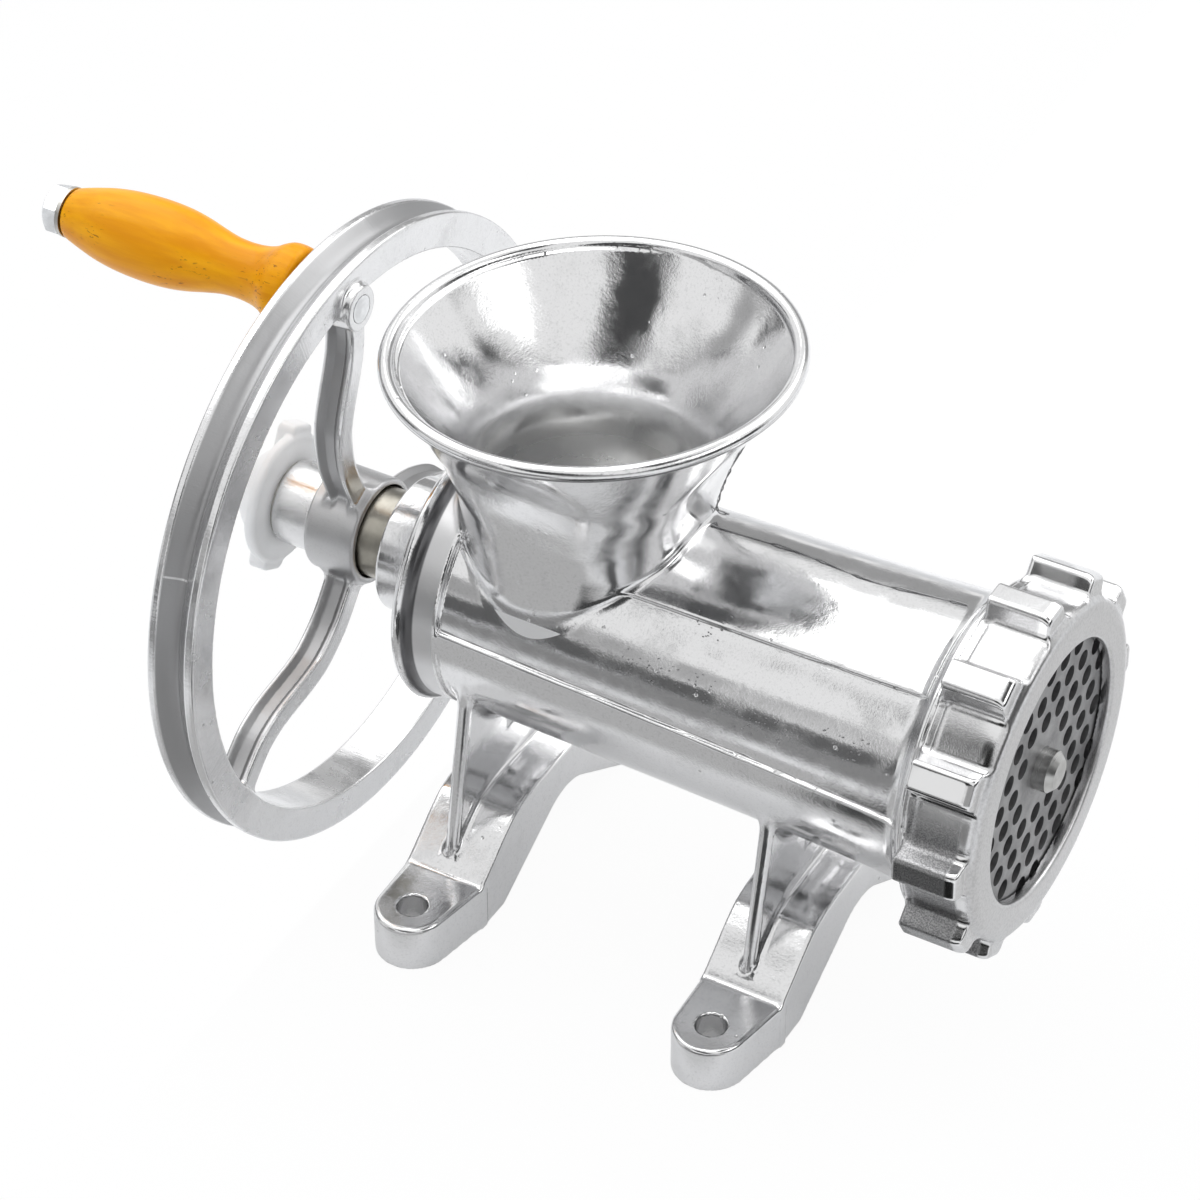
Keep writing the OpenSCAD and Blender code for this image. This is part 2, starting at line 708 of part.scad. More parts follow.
module wing_nut() color("white") difference() {
    union() {
        turned([[0, nut_front], [nut_r - edge, nut_front], [nut_r, nut_front - edge],
            [nut_r, nut_front - 2.4], [0.96 * nut_r, nut_front - 3.4],
            [0.88 * nut_r, nut_front - 0.34 * nut_t], [0.82 * nut_r, nut_front - 0.6 * nut_t],
            [0.72 * nut_r, nut_front - 0.8 * nut_t], [0.58 * nut_r, nut_front - 0.94 * nut_t],
            [0.42 * nut_r, nut_back], [0, nut_back]]);
        for (a = [0, 180]) on_axis(nut_front - 0.5 * nut_t) rotate([a + wing_a, 0, 0])
            translate([0, -wing_w / 2, 0]) cube([0.5 * nut_t - 0.5, wing_w, wing_r]);
    }
    on_axis() hex_bar(insert_af, nut_front + 1, nut_front - insert_t);
    bar(stud_r + run_gap, nut_front + 1, nut_back + 2.6);
}

module nut_insert() color("#b5a642") difference() {
    on_axis() hex_bar(insert_af, nut_front, nut_front - insert_t);
    bar(stud_r + run_gap, nut_front + 1, nut_front - insert_t - 1);
}

/* ---- handle ---- */

module handle_bolt() color("gainsboro") at_handle() {
    translate([head_cap, 0, 0]) along_x()
        cylinder(r = hbolt_r, h = rim_front + hboss_out - head_cap, $fn = 32);
    intersection() {
        hex_bar(head_af, head_cap, head_front);
        translate([head_cap, 0, 0]) along_x() union() {
            cylinder(r1 = head_af * 0.42, r2 = head_af * 0.6, h = 2);
            translate([0, 0, 2 - eps]) cylinder(r = head_af * 0.6, h = head_t);
        }
    }
}

// A flat ring on the handle bolt
module handle_ring(r, x0, x1) at_handle(min(x0, x1)) difference() {
    along_x() cylinder(r = r, h = abs(x1 - x0));
    translate([-1, 0, 0]) along_x() cylinder(r = hbolt_r, h = abs(x1 - x0) + 2, $fn = 32);
}

module grip_sleeve() color("gray")
    handle_ring(sleeve_r, head_front + grip_washer_t, rim_back - grip_washer_t);

module grip_washer_inner() color("silver")
    handle_ring(hboss_r + 1.4, rim_back - grip_washer_t, rim_back);

module grip_washer_outer() color("silver")
    handle_ring(head_af * 0.56, head_front, head_front + grip_washer_t);

// Turned wooden grip: a collar, a waist and a long belly
module handle_grip() color("#f2a516") {
    u = grip_len / 100;
    side = concat(
        [[sleeve_r + run_gap, 0], [grip_r - 1.3, 0], [grip_r - 0.3, -1.5 * u]],
        [for (i = [0:4]) let (a = i * 45)
            [waist_r + (grip_r - 0.3 - waist_r) * (1 + cos(a)) / 2, -3 * u - 19 * u * i / 4]],
        [for (i = [1:8]) let (a = i * 22.5)
            [waist_r + (grip_r - waist_r) * (1 - cos(a)) / 2, -22 * u - 40 * u * i / 8]],
        [[grip_r - 0.2, -73 * u], [grip_r - 1, -82 * u], [grip_r - 2.4, -90 * u],
            [grip_r - 3.6, -96 * u], [grip_r - 4.6, -100 * u], [sleeve_r + run_gap, -100 * u]]);
    at_handle(grip_front) along_x() rotate_extrude($fn = 64) polygon(side);
}

grinder_body();
shaft_bush();
thrust_washer();
plate_pin();
grinding_plate();
ring_nut();
auger_worm();
auger_shaft();
auger_pin();
cutting_knife();
hand_wheel();
crank_stud();
stud_washer();
wing_nut();
nut_insert();
handle_bolt();
grip_sleeve();
grip_washer_inner();
grip_washer_outer();
handle_grip();
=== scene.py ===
import json
from math import acos, atan, atan2, cos, degrees, hypot, pi, radians, sin, tan

import bpy
import bmesh
import numpy as np
import openvdb
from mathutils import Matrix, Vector

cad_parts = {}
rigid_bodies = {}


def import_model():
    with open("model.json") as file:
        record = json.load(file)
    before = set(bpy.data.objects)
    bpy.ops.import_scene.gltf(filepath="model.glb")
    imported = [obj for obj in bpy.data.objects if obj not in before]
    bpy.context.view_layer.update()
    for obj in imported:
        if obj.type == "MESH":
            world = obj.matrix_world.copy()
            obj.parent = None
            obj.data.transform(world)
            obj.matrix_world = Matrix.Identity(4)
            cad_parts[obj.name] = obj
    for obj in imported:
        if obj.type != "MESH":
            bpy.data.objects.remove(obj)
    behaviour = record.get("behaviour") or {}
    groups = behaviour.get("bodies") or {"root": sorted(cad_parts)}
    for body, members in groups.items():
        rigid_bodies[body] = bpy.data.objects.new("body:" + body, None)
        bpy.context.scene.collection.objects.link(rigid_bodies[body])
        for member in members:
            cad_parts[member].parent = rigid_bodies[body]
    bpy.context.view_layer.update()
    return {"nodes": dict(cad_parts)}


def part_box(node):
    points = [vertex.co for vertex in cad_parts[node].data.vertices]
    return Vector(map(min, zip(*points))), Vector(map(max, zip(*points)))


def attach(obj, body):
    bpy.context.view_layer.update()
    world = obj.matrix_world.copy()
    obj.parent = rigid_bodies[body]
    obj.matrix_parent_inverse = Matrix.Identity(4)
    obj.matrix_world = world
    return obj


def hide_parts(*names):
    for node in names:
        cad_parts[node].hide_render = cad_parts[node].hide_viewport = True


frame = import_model()
nodes = frame["nodes"]
mm = 0.001


def nodeBox(name):
    lo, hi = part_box(name)
    return [v / mm for v in lo], [v / mm for v in hi]


def middle(name, axis):
    lo, hi = nodeBox(name)
    return (lo[axis] + hi[axis]) / 2


# sizes taken from the frame, in millimetres

axisZ = middle("ring_nut", 2)
bodyLo, bodyHi = nodeBox("grinder_body")
ringLo, ringHi = nodeBox("ring_nut")
wheelLo, wheelHi = nodeBox("hand_wheel")
gripLo, gripHi = nodeBox("handle_grip")
nutLo, nutHi = nodeBox("wing_nut")
gripY, gripZ = middle("handle_grip", 1), middle("handle_grip", 2)
print("axis height", axisZ)

# fields: a shape is a grid of distances in millimetres, negative inside. A factor under 1 keeps a sloping
# side near its true distance, and soften, pare and roundBar end with the size of their fillet

meshing = {
    "band": 4, "reach": 0.35,  # cells of field kept, and cells that a point may move onto the surface
    "leastSlope": 0.3, "step": 0.12,  # a slope is read over two steps, in millimetres
}


class Block:
    # open grids of x, y and z over a box, with a margin
    def __init__(self, lo, hi, cell, margin=3):
        self.cell = cell
        self.lo = np.array(lo, float) - margin * cell
        counts = np.ceil((np.array(hi, float) + margin * cell - self.lo) / cell).astype(int) + 1
        axes = [self.lo[i] + cell * np.arange(counts[i], dtype=np.float32) for i in range(3)]
        self.x, self.y, self.z = np.ix_(*[axis.astype(np.float32) for axis in axes])
        self.shape = tuple(counts)


def soften(a, b, k):
    # union of two fields with a fillet of about k
    h = np.clip(0.5 + 0.5 * (b - a) / k, 0, 1)
    return b + (a - b) * h - k * h * (1 - h)


def pare(a, b, k):
    # the part of a that is also in b, with a rounded edge of about k
    return -soften(-a, -b, k)


def within(v, lo, hi):
    return np.maximum(lo - v, v - hi)


def roundBar(r, along, radius, lo, hi, edge):
    # a bar about an axis, with its edges rounded
    a = r - (radius - edge)
    b = np.abs(along - (lo + hi) / 2) - ((hi - lo) / 2 - edge)
    return np.hypot(np.maximum(a, 0), np.maximum(b, 0)) + np.minimum(np.maximum(a, b), 0) - edge


def curve(v, points):
    # a smooth line through the points that doesn't overshoot between them
    x, y = np.array(points, float).T
    slopes = np.diff(y) / np.diff(x)
    before, after = slopes[:-1], slopes[1:]
    turning = before * after <= 0
    inner = np.where(turning, 0, 2 * before * after / np.where(turning, 1, before + after))
    tilt = np.concatenate([slopes[:1], inner, slopes[-1:]])
    i = np.clip(np.searchsorted(x, v) - 1, 0, len(x) - 2)
    gap = x[i + 1] - x[i]
    t = np.clip((v - x[i]) / gap, 0, 1)
    out = ((1 + 2 * t) * (1 - t) ** 2 * y[i] + t * (1 - t) ** 2 * gap * tilt[i]
           + t * t * (3 - 2 * t) * y[i + 1] - t * t * (1 - t) * gap * tilt[i + 1])
    return out.astype(np.float32)


class Cloud:
    # scattered points, to read a field at
    def __init__(self, points):
        self.x, self.y, self.z = points.T


def polar(b):
    # height over the axis, and distance from it
    h = b.z - axisZ
    return h, np.hypot(b.y, h)


def slopeAt(shape, points):
    out = np.zeros_like(points)
    for i in range(3):
        move = np.zeros(3)
        move[i] = meshing["step"]
        out[:, i] = shape(Cloud(points + move)) - shape(Cloud(points - move))
    return out / (2 * meshing["step"])


def newObject(name, data):
    obj = bpy.data.objects.new(name, data)
    bpy.context.scene.collection.objects.link(obj)
    return obj


def meshObject(name, verts, faces, edges=(), smooth=True):
    mesh = bpy.data.meshes.new(name)
    mesh.from_pydata(verts, edges, faces)
    mesh.update()
    if smooth:
        mesh.shade_smooth()
    return newObject(name, mesh)


def gridFaces(n):
    # the four-sided faces of a square grid of n by n points
    return [(j * n + i, j * n + i + 1, (j + 1) * n + i + 1, (j + 1) * n + i)
            for j in range(n - 1) for i in range(n - 1)]


def fieldObject(name, shape, lo, hi, c):
    # the shape's surface as a mesh, thinned, then drawn onto the true surface and given its normals
    block = Block(lo, hi, c["cell"])
    field = np.ascontiguousarray(np.broadcast_to(shape(block), block.shape), dtype=np.float32)
    grid = openvdb.FloatGrid(float(field.max()))
    band = meshing["band"] * block.cell
    grid.copyFromArray(np.clip(field, -band, band))
    points, quads = grid.convertToQuads(isovalue=0.0)
    points = points * block.cell + block.lo
    obj = meshObject(name, (points * mm).tolist(), quads.tolist(), smooth=False)
    triangles = len(quads) * 2
    if triangles > c["triangles"]:
        thin = obj.modifiers.new("thin", "DECIMATE")
        thin.ratio = c["triangles"] / triangles
        obj = settled(obj)
    mesh = obj.data
    co = np.zeros(len(mesh.vertices) * 3)
    mesh.vertices.foreach_get("co", co)
    points = co.reshape(-1, 3) / mm
    slope = slopeAt(shape, points)
    steep = np.maximum(np.sum(slope * slope, axis=1), meshing["leastSlope"])
    reach = meshing["reach"] * block.cell
    off = np.clip(shape(Cloud(points)) / steep, -reach, reach)
    points = points - slope * off[:, None]
    mesh.vertices.foreach_set("co", (points * mm).ravel())
    slope = slopeAt(shape, points)
    normals = slope / np.maximum(np.linalg.norm(slope, axis=1, keepdims=True), 1e-9)
    mesh.shade_smooth()
    mesh.normals_split_custom_set_from_vertices(normals.tolist())
    print(name, len(mesh.polygons), "faces")
    return obj


def settled(obj):
    # the object with its modifiers turned into a plain mesh
    graph = bpy.context.evaluated_depsgraph_get()
    mesh = bpy.data.meshes.new_from_object(obj.evaluated_get(graph))
    mesh.name = obj.name
    obj.modifiers.clear()
    obj.data = mesh
    return obj


# node trees

class Tree:
    # adds a node from its kind, its settings, and the values or links of its sockets
    def add(self, kind, settings=None, inputs=None):
        new = self.tree.nodes.new(kind)
        for key, v in (settings or {}).items():
            setattr(new, key, v)
        for key, v in (inputs or {}).items():
            v = getattr(v, "socket", v)
            if isinstance(v, bpy.types.NodeSocket):
                self.tree.links.new(v, new.inputs[key])
            else:
                new.inputs[key].default_value = v
        return new


class Sock:
    # a shader socket that can be used in plain arithmetic
    def __init__(self, shade, socket):
        self.shade = shade
        self.socket = socket

    def math(self, kind, *others):
        return self.shade.math(kind, self, *others)

    def __add__(self, other): return self.math("ADD", other)
    def __sub__(self, other): return self.math("SUBTRACT", other)
    def __rsub__(self, other): return self.shade.math("SUBTRACT", other, self)
    def __mul__(self, other): return self.math("MULTIPLY", other)
    def __pow__(self, other): return self.math("POWER", other)
    def __lt__(self, other): return self.math("LESS_THAN", other)
    def low(self, other): return self.math("MINIMUM", other)
    def high(self, other): return self.math("MAXIMUM", other)
    __radd__, __rmul__ = __add__, __mul__

    def span(self, lo, hi):
        # 0 below lo, 1 above hi, smooth between
        return self.shade.node("ShaderNodeMapRange", {"interpolation_type": "SMOOTHSTEP"},
                               {"Value": self, "From Min": lo, "From Max": hi})

    def between(self, rise, fall):
        # 1 between two stretches over which it rises and falls
        return self.span(*rise) * (1 - self.span(*fall))


uvCoords, objectCoords = 2, 3  # outputs of the Texture Coordinate node


class Shade(Tree):
    # a material, or the world, with its shader written as expressions
    def __init__(self, name, world=None):
        self.material = world or bpy.data.materials.new(name)
        self.material.use_nodes = True
        self.tree = self.material.node_tree
        self.tree.nodes.clear()
        self.output = self.add("ShaderNodeOutputWorld" if world else "ShaderNodeOutputMaterial")

    def node(self, kind, settings=None, inputs=None, out=0):
        return Sock(self, self.add(kind, settings, inputs).outputs[out])

    def math(self, kind, *terms):
        return self.node("ShaderNodeMath", {"operation": kind}, dict(enumerate(terms)))

    def place(self, scale=(1, 1, 1)):
        coords = self.node("ShaderNodeTexCoord", out=objectCoords)
        return self.node("ShaderNodeMapping", {}, {"Vector": coords, "Scale": scale})

    def xyz(self, kind=objectCoords):
        coords = self.node("ShaderNodeTexCoord", out=kind)
        split = self.add("ShaderNodeSeparateXYZ", {}, {0: coords})
        return [Sock(self, split.outputs[i]) for i in range(3)]

    def noise(self, size, detail=2.0, rough=0.5, where=None, distort=0.0):
        # noise whose blobs are about size metres wide
        return self.node("ShaderNodeTexNoise", {}, {"Vector": where or self.place(), "Scale": 1 / size,
                         "Detail": detail, "Roughness": rough, "Distortion": distort})

    def cells(self, size):
        return self.node("ShaderNodeTexVoronoi", {}, {"Vector": self.place(), "Scale": 1 / size})

    def mix(self, factor, a, b):
        # two colours
        return self.node("ShaderNodeMix", {"data_type": "RGBA"},
                         {0: factor, 6: a if isinstance(a, Sock) else (*a, 1),
                          7: b if isinstance(b, Sock) else (*b, 1)}, out=2)

    def bump(self, height, depth, under=None):
        inputs = {"Height": height, "Distance": depth}
        if under is not None:
            inputs["Normal"] = under
        return self.node("ShaderNodeBump", {}, inputs)

    def end(self, surface):
        self.tree.links.new(surface.socket, self.output.inputs[0])
        return self.material

    def finish(self, **inputs):
        named = {key.replace("_", " "): v for key, v in inputs.items()}
        return self.end(self.node("ShaderNodeBsdfPrincipled", {}, named))


def paint(obj, material):
    obj.data.materials.clear()
    obj.data.materials.append(material)


# materials

def fromAxis(y, z):
    # how far a place is from the grinder's axis
    up = z - axisZ * mm
    return (y * y + up * up) ** 0.5


castFinish = {
    "color": (0.76, 0.76, 0.765), "dull": (0.50, 0.50, 0.505), "metal": 0.92,
    "waveSize": 0.030, "waveDepth": 0.0004, "cloudSize": 0.012,
    "grainSize": 0.0007, "grainDepth": 0.00006, "speckle": 0.3,
    "pitSize": 0.0042, "pitDepth": 0.0002, "pitRough": 0.25, "patchSize": 0.019,
    "roughLow": 0.08, "roughHigh": 0.20,
}


def polishedCast(name, tune, roughAndPaintedParts=()):
    # a rough and painted part has a function of x, y and z for its mask, and what the mask changes; some of
    # these parts have painted light and shade in their colour
    f = {**castFinish, **tune}
    s = Shade(name)
    waves = s.noise(f["waveSize"], 1.5, 0.45, distort=0.4)
    cloud = s.noise(f["cloudSize"], 4.0, 0.6)
    grain = s.noise(f["grainSize"], 3.0, 0.7)
    patchy = s.noise(f["patchSize"], 2.0, 0.5).span(0.56, 0.66)
    pits = (1 - s.cells(f["pitSize"]).span(0.05, 0.16)) * patchy
    rough = cloud.span(0.35, 0.75) * (f["roughHigh"] - f["roughLow"]) + f["roughLow"]
    normal = s.bump(waves, f["waveDepth"])
    normal = s.bump(grain * (cloud.span(0.4, 0.7) * 0.8 + 0.2), f["grainDepth"], normal)
    normal = s.bump(pits * -1.0, f["pitDepth"], normal)
    if "lineDepth" in f:
        normal = s.bump(turnedLines(s), f["lineDepth"], normal)
    color = s.mix(pits.high(cloud.span(0.5, 0.85) * 0.35), f["color"], f["dull"])
    color = s.mix(grain.span(0.52, 0.66) * f["speckle"], color, f["dull"])
    rough = rough + pits * f["pitRough"]
    metal = f["metal"]
    for part in roughAndPaintedParts:
        mask = part["where"](*s.xyz())
        color = s.mix(mask, color, part["color"])
        rough = rough * (1 - mask) + mask * part["rough"]
        metal = mask * -part["loss"] + metal
    return s.finish(Base_Color=color, Metallic=metal, Roughness=rough, Normal=normal)


turnedMarks = {"size": 0.0007, "turn": 0.09, "stretch": 0.06}


def turnedLines(s):
    # fine marks that run outwards from the axis
    x, y, z = s.xyz()
    around = (z - axisZ * mm).math("ARCTAN2", y) * turnedMarks["turn"]
    outward, along = fromAxis(y, z) * turnedMarks["stretch"], x * turnedMarks["stretch"]
    where = s.node("ShaderNodeCombineXYZ", {}, {0: around, 1: outward, 2: along})
    return s.noise(turnedMarks["size"], 2.0, 0.6, where)


rawAndPaintedParts = {
    # the casting's marked places, in metres: the throat left as cast and painted lighter, the flange's band
    # painted darker, and its cove and the rim bead's underside painted with shade; a pair is the length
    # over which one begins or ends
    "throatX": -0.0265, "throatR": 0.0340, "flareFrom": 0.1284, "flare": 0.27,
    "ledge": (0.1028, 0.1034), "ledgeDepth": 0.0035, "throat": ((0.0865, 0.0885), (0.104, 0.150)),
    "cove": ((-0.0643, -0.0637), (-0.0612, -0.0606)), "band": ((-0.0614, -0.0608), (-0.0550, -0.0545)),
    "flange": ((0.0365, 0.0370), (0.0400, 0.0408)),
    "under": ((-0.0026, -0.0021), (-0.0009, -0.0003)), "underIn": (-0.0024, -0.0019),
}


def throatRawAndLitPart(x, y, z):
    # the inside of the hopper's throat: rougher as cast, and painted lighter and less metallic as light
    # that reaches deep into it
    p = rawAndPaintedParts
    dx = x - p["throatX"]
    wallMiddle = ((z - p["flareFrom"]).high(0.0) * p["flare"] + p["throatR"]
                  - z.span(*p["ledge"]) * p["ledgeDepth"])
    return ((dx * dx + y * y) ** 0.5 < wallMiddle) * z.between(*p["throat"])


def flangePart(name):
    # the band of the flange's rim, painted darker, or the cove behind its bead, painted near black as shade
    # in the recess
    return lambda x, y, z: x.between(*rawAndPaintedParts[name]) * fromAxis(y, z).between(*rawAndPaintedParts["flange"])


def rimUnderShadePart(x, y, z):
    # the underside of the hopper's rim bead, painted dark as the shade and dark reflection under the bead
    c, p = casting, rawAndPaintedParts
    level, line = acrossRim(x - c["hopperX"] * mm, z - (axisZ + c["hopperH"]) * mm)
    away = (level * level + y * y) ** 0.5 - c["rimR"] * mm
    return (line + c["beadR"] * mm).between(*p["under"]) * away.span(*p["underIn"])


ringRaw = {
    "color": (0.42, 0.42, 0.425), "dark": (0.14, 0.14, 0.145), "lumpSize": 0.0004, "lumpDepth": 0.0001,
    # where it begins and ends: outwards, along and upwards; then the polished face
    "feet": (0.0462, 0.0472), "back": (0.0938, 0.0948), "front": (0.1085, 0.1098), "lower": (0.006, 0.022),
    "face": (0.1112, 0.1128),
    "blotchSize": 0.024, "waveSize": 0.021, "waveDepth": 0.0006, "grainSize": 0.0009, "grainDepth": 0.00004,
}


def ringFinish():
    # polished, with the lugs' tops and the bays between them left as cast, darker and rougher mostly
    # towards the bottom
    f = ringRaw
    s = Shade("ring nut, polished and as cast")
    x, y, z = s.xyz()
    blotch = s.noise(f["blotchSize"], 1.0, 0.5).span(0.50, 0.56)
    lower = 1 - (z - axisZ * mm).span(*f["lower"])
    band = fromAxis(y, z).span(*f["feet"]) * x.between(f["back"], f["front"])
    raw = band * (lower * 0.85 + blotch * 0.3).low(1.0)
    lumps = s.noise(f["lumpSize"], 3.0, 0.65)
    grain = s.noise(f["grainSize"], 3.0, 0.7)
    face = x.span(*f["face"])
    normal = s.bump(s.noise(f["waveSize"], 1.5, 0.45), f["waveDepth"])
    normal = s.bump(grain * (face * 0.7 + 0.3), f["grainDepth"], normal)
    normal = s.bump(lumps * raw, f["lumpDepth"], normal)
    color = s.mix(face * (grain.span(0.42, 0.62) * 0.35 + 0.55), castFinish["color"], castFinish["dull"])
    color = s.mix(raw, color, s.mix(lumps.span(0.40, 0.62), f["dark"], f["color"]))
    rough = raw * 0.22 + face * 0.14 + 0.14
    return s.finish(Base_Color=color, Metallic=1.0, Roughness=rough, Normal=normal)


def steelFinish(name, color, rough, lineSize=(0.0003, 0.02, 0.02), depth=0.00002):
    # machined steel with fine lines
    s = Shade(name)
    lines = s.noise(1.0, 2.0, 0.5, s.place([1 / v for v in lineSize]))
    cloud = s.noise(0.008, 3.0, 0.6)
    shade = s.mix(cloud.span(0.35, 0.7), color, tuple(c * 0.7 for c in color))
    return s.finish(Base_Color=shade, Metallic=1.0, Roughness=lines * 0.15 + rough,
                    Normal=s.bump(lines, depth))


def plateFinish():
    # dark ground steel with fine turning marks
    s = Shade("plate, ground dark steel")
    x, y, z = s.xyz()
    marks = s.node("ShaderNodeTexNoise", {"noise_dimensions": "1D"},
                   {"W": fromAxis(y, z), "Scale": 1900.0, "Detail": 2.0})
    cloud = s.noise(0.010, 4.0, 0.6)
    color = s.mix(cloud.span(0.3, 0.72), (0.20, 0.20, 0.205), (0.36, 0.36, 0.365))
    return s.finish(Base_Color=color, Metallic=0.9, Roughness=marks * 0.12 + 0.36,
                    Normal=s.bump(marks, 0.00002))


woodTone = {"light": (0.93, 0.42, 0.004), "deep": (0.76, 0.28, 0.002), "speck": (0.22, 0.06, 0.002)}


def woodFinish():
    # lacquered hardwood, grain along X, with short brown rays
    s = Shade("handle, lacquered wood")
    grain = s.noise(1.0, 5.0, 0.6, s.place((22, 260, 260)))
    broad = s.noise(1.0, 2.0, 0.5, s.place((14, 60, 60)))
    rays = s.noise(1.0, 2.0, 0.55, s.place((330, 1500, 1500)))
    patch = s.noise(0.014, 2.0, 0.5).span(0.50, 0.66)
    speck = rays.span(0.60, 0.68) * patch
    tone = (grain * 0.6 + broad * 0.4).span(0.36, 0.66)
    color = s.mix(tone, woodTone["deep"], woodTone["light"])
    color = s.mix(speck * 0.8, color, woodTone["speck"])
    return s.finish(Base_Color=color, Roughness=grain * 0.1 + 0.3, Normal=s.bump(grain, 0.00008),
                    Coat_Weight=0.12, Coat_Roughness=0.1, Specular_IOR_Level=0.12)


def plasticFinish():
    # milky moulded plastic
    s = Shade("nut, milky plastic")
    cloud = s.noise(0.012, 2.0, 0.5)
    color = s.mix(cloud.span(0.3, 0.7), (0.95, 0.955, 0.955), (0.90, 0.905, 0.905))
    return s.finish(Base_Color=color, Roughness=cloud * 0.1 + 0.3, Subsurface_Weight=0.3,
                    Subsurface_Radius=(0.004, 0.004, 0.004), Subsurface_Scale=1.0,
                    Normal=s.bump(s.noise(0.0016, 2.0), 0.00003))


def plainPlastic(name, color):
    s = Shade(name)
    cloud = s.noise(0.01, 2.0)
    shade = s.mix(cloud, color, tuple(c * 0.85 for c in color))
    return s.finish(Base_Color=shade, Roughness=cloud * 0.1 + 0.4)


# the casting

casting = {
    "cell": 0.7, "triangles": 190000, "barrelBack": -60,
    "barrel": [(-60, 35.4), (85, 39.5), (87.2, 40.2), (88.6, 41.6), (89.6, 43.3), (90.8, 44.1), (92, 44.2)],
    "step": 1.2, "stepRise": 3.5, "stepFall": 1.4, "stepFront": 89,
    "land": 0.75, "landHalf": 38, "landFront": 88,
    "flange": [(-67, 38.6), (-66.2, 39.6), (-65.2, 39.9), (-64.2, 39.3), (-63, 38.0), (-61.4, 37.5),
               (-54, 37.5)],
    "flangeEnds": (-67.2, -53.6), "bossR": 19.8, "bossBack": -84.5,
    "boreR": 32, "boreBack": -57, "seatR": 41.3, "seatX": 92.6, "bushR": 15.6,
    # against height over the axis: the hopper's radius at its corners, its flat sides' half width, its
    # lean towards the wheel, its stretch along the barrel, and its inside radius
    "corner": [(-20, 32.4), (22, 32.4), (32, 33.4), (42, 35.6), (48, 37.7), (54, 40.2), (60, 42.6),
               (66, 45.6), (73, 49.1), (84.5, 54.5), (91, 57.4)],
    "side": [(-20, 32.6), (22, 32.4), (35, 32.2), (48, 33.9), (61, 38), (81, 52.7), (90, 62)],
    "lean": [(0, -2.2), (24, -2.2), (62, 0), (91, 0)],
    "stretch": [(0, 0.955), (24, 0.955), (50, 1), (91, 1)],
    "throat": [(-1, 28.6), (30, 28.8), (42, 29.6), (50, 31.2), (56, 33.6), (62, 37.0), (70, 42.2),
               (79, 48.6), (87, 54.0), (91, 56.4)],
    "hopperX": -25.3, "hopperH": 87, "rimR": 57, "beadR": 2.1, "rimTilt": 2.4,
    "holeX": 47.5, "holeY": 62.5, "holeR": 4.3, "footR": 10.8, "footT": 14.6,
    # a leg's back, in parts of the way out and of the rise; its web's half width at the foot and above it
    "legBack": 11.5, "legFront": 13.5, "footIn": 47.2, "webT": 2.8, "webBead": 1.9, "beadFoot": 5,
    "back": [(0, 1), (0.21, 0.99), (0.44, 0.945), (0.59, 0.85), (0.72, 0.63), (0.85, 0.34), (1, 0),
             (1.2, -0.6)],
    "webFoot": 44, "webTop": 32.7, "webRise": 61.1, "webEnd": 8,
    "archH": 17.4, "archY": 34.8, "archFlare": 3.5, "backH": 31,
    "railHalf": 10, "railT": 3.2, "railDrop": 40.6, "railFall": 2.1, "railFrom": 53,
    "railEnds": (-54, 87.4), "ribHalf": 3.4, "ribRise": (1, 11), "ribEnds": (-54, 81),
}


def hopperMiddle(h):
    return casting["hopperX"] + curve(h, casting["lean"])


def funnel(b):
    h = b.z - axisZ
    stretch = curve(h, casting["stretch"])
    dx, dy = (b.x - hopperMiddle(h)) * stretch, b.y
    cone = np.hypot(dx, dy) - curve(h, casting["corner"])
    flats = np.maximum(np.abs(dx), np.abs(dy)) - curve(h, casting["side"])
    return pare(cone * 0.93, flats * 0.93, 2.4)


def acrossRim(dx, up):
    # a place seen from the rim's middle: along the tilted rim, and above it
    tilt = radians(casting["rimTilt"])
    return dx * cos(tilt) + up * sin(tilt), up * cos(tilt) - dx * sin(tilt)


def tangent(p, r, way):
    # where a line from p touches a circle
    a = atan2(p[1], p[0]) + way * acos(r / hypot(*p))
    return r * cos(a), r * sin(a)


def footPlan(u, v):
    # u along the barrel, v inwards, from the bolt hole's centre
    c = casting
    r, inner = c["footR"], c["holeY"] - c["footIn"]
    front, rear = (c["legFront"], inner), (-c["legBack"], inner)
    t1, t2 = tangent(front, r, -1), tangent(rear, r, 1)
    flared = v - inner - 2
    for (x0, y0), (x1, y1) in ((t1, front), (rear, t2), (t2, t1)):
        ex, ey = x1 - x0, y1 - y0
        flared = np.maximum(flared, ((u - x0) * ey - (v - y0) * ex) / hypot(ex, ey))
    return np.minimum(np.hypot(u, v) - r, flared)


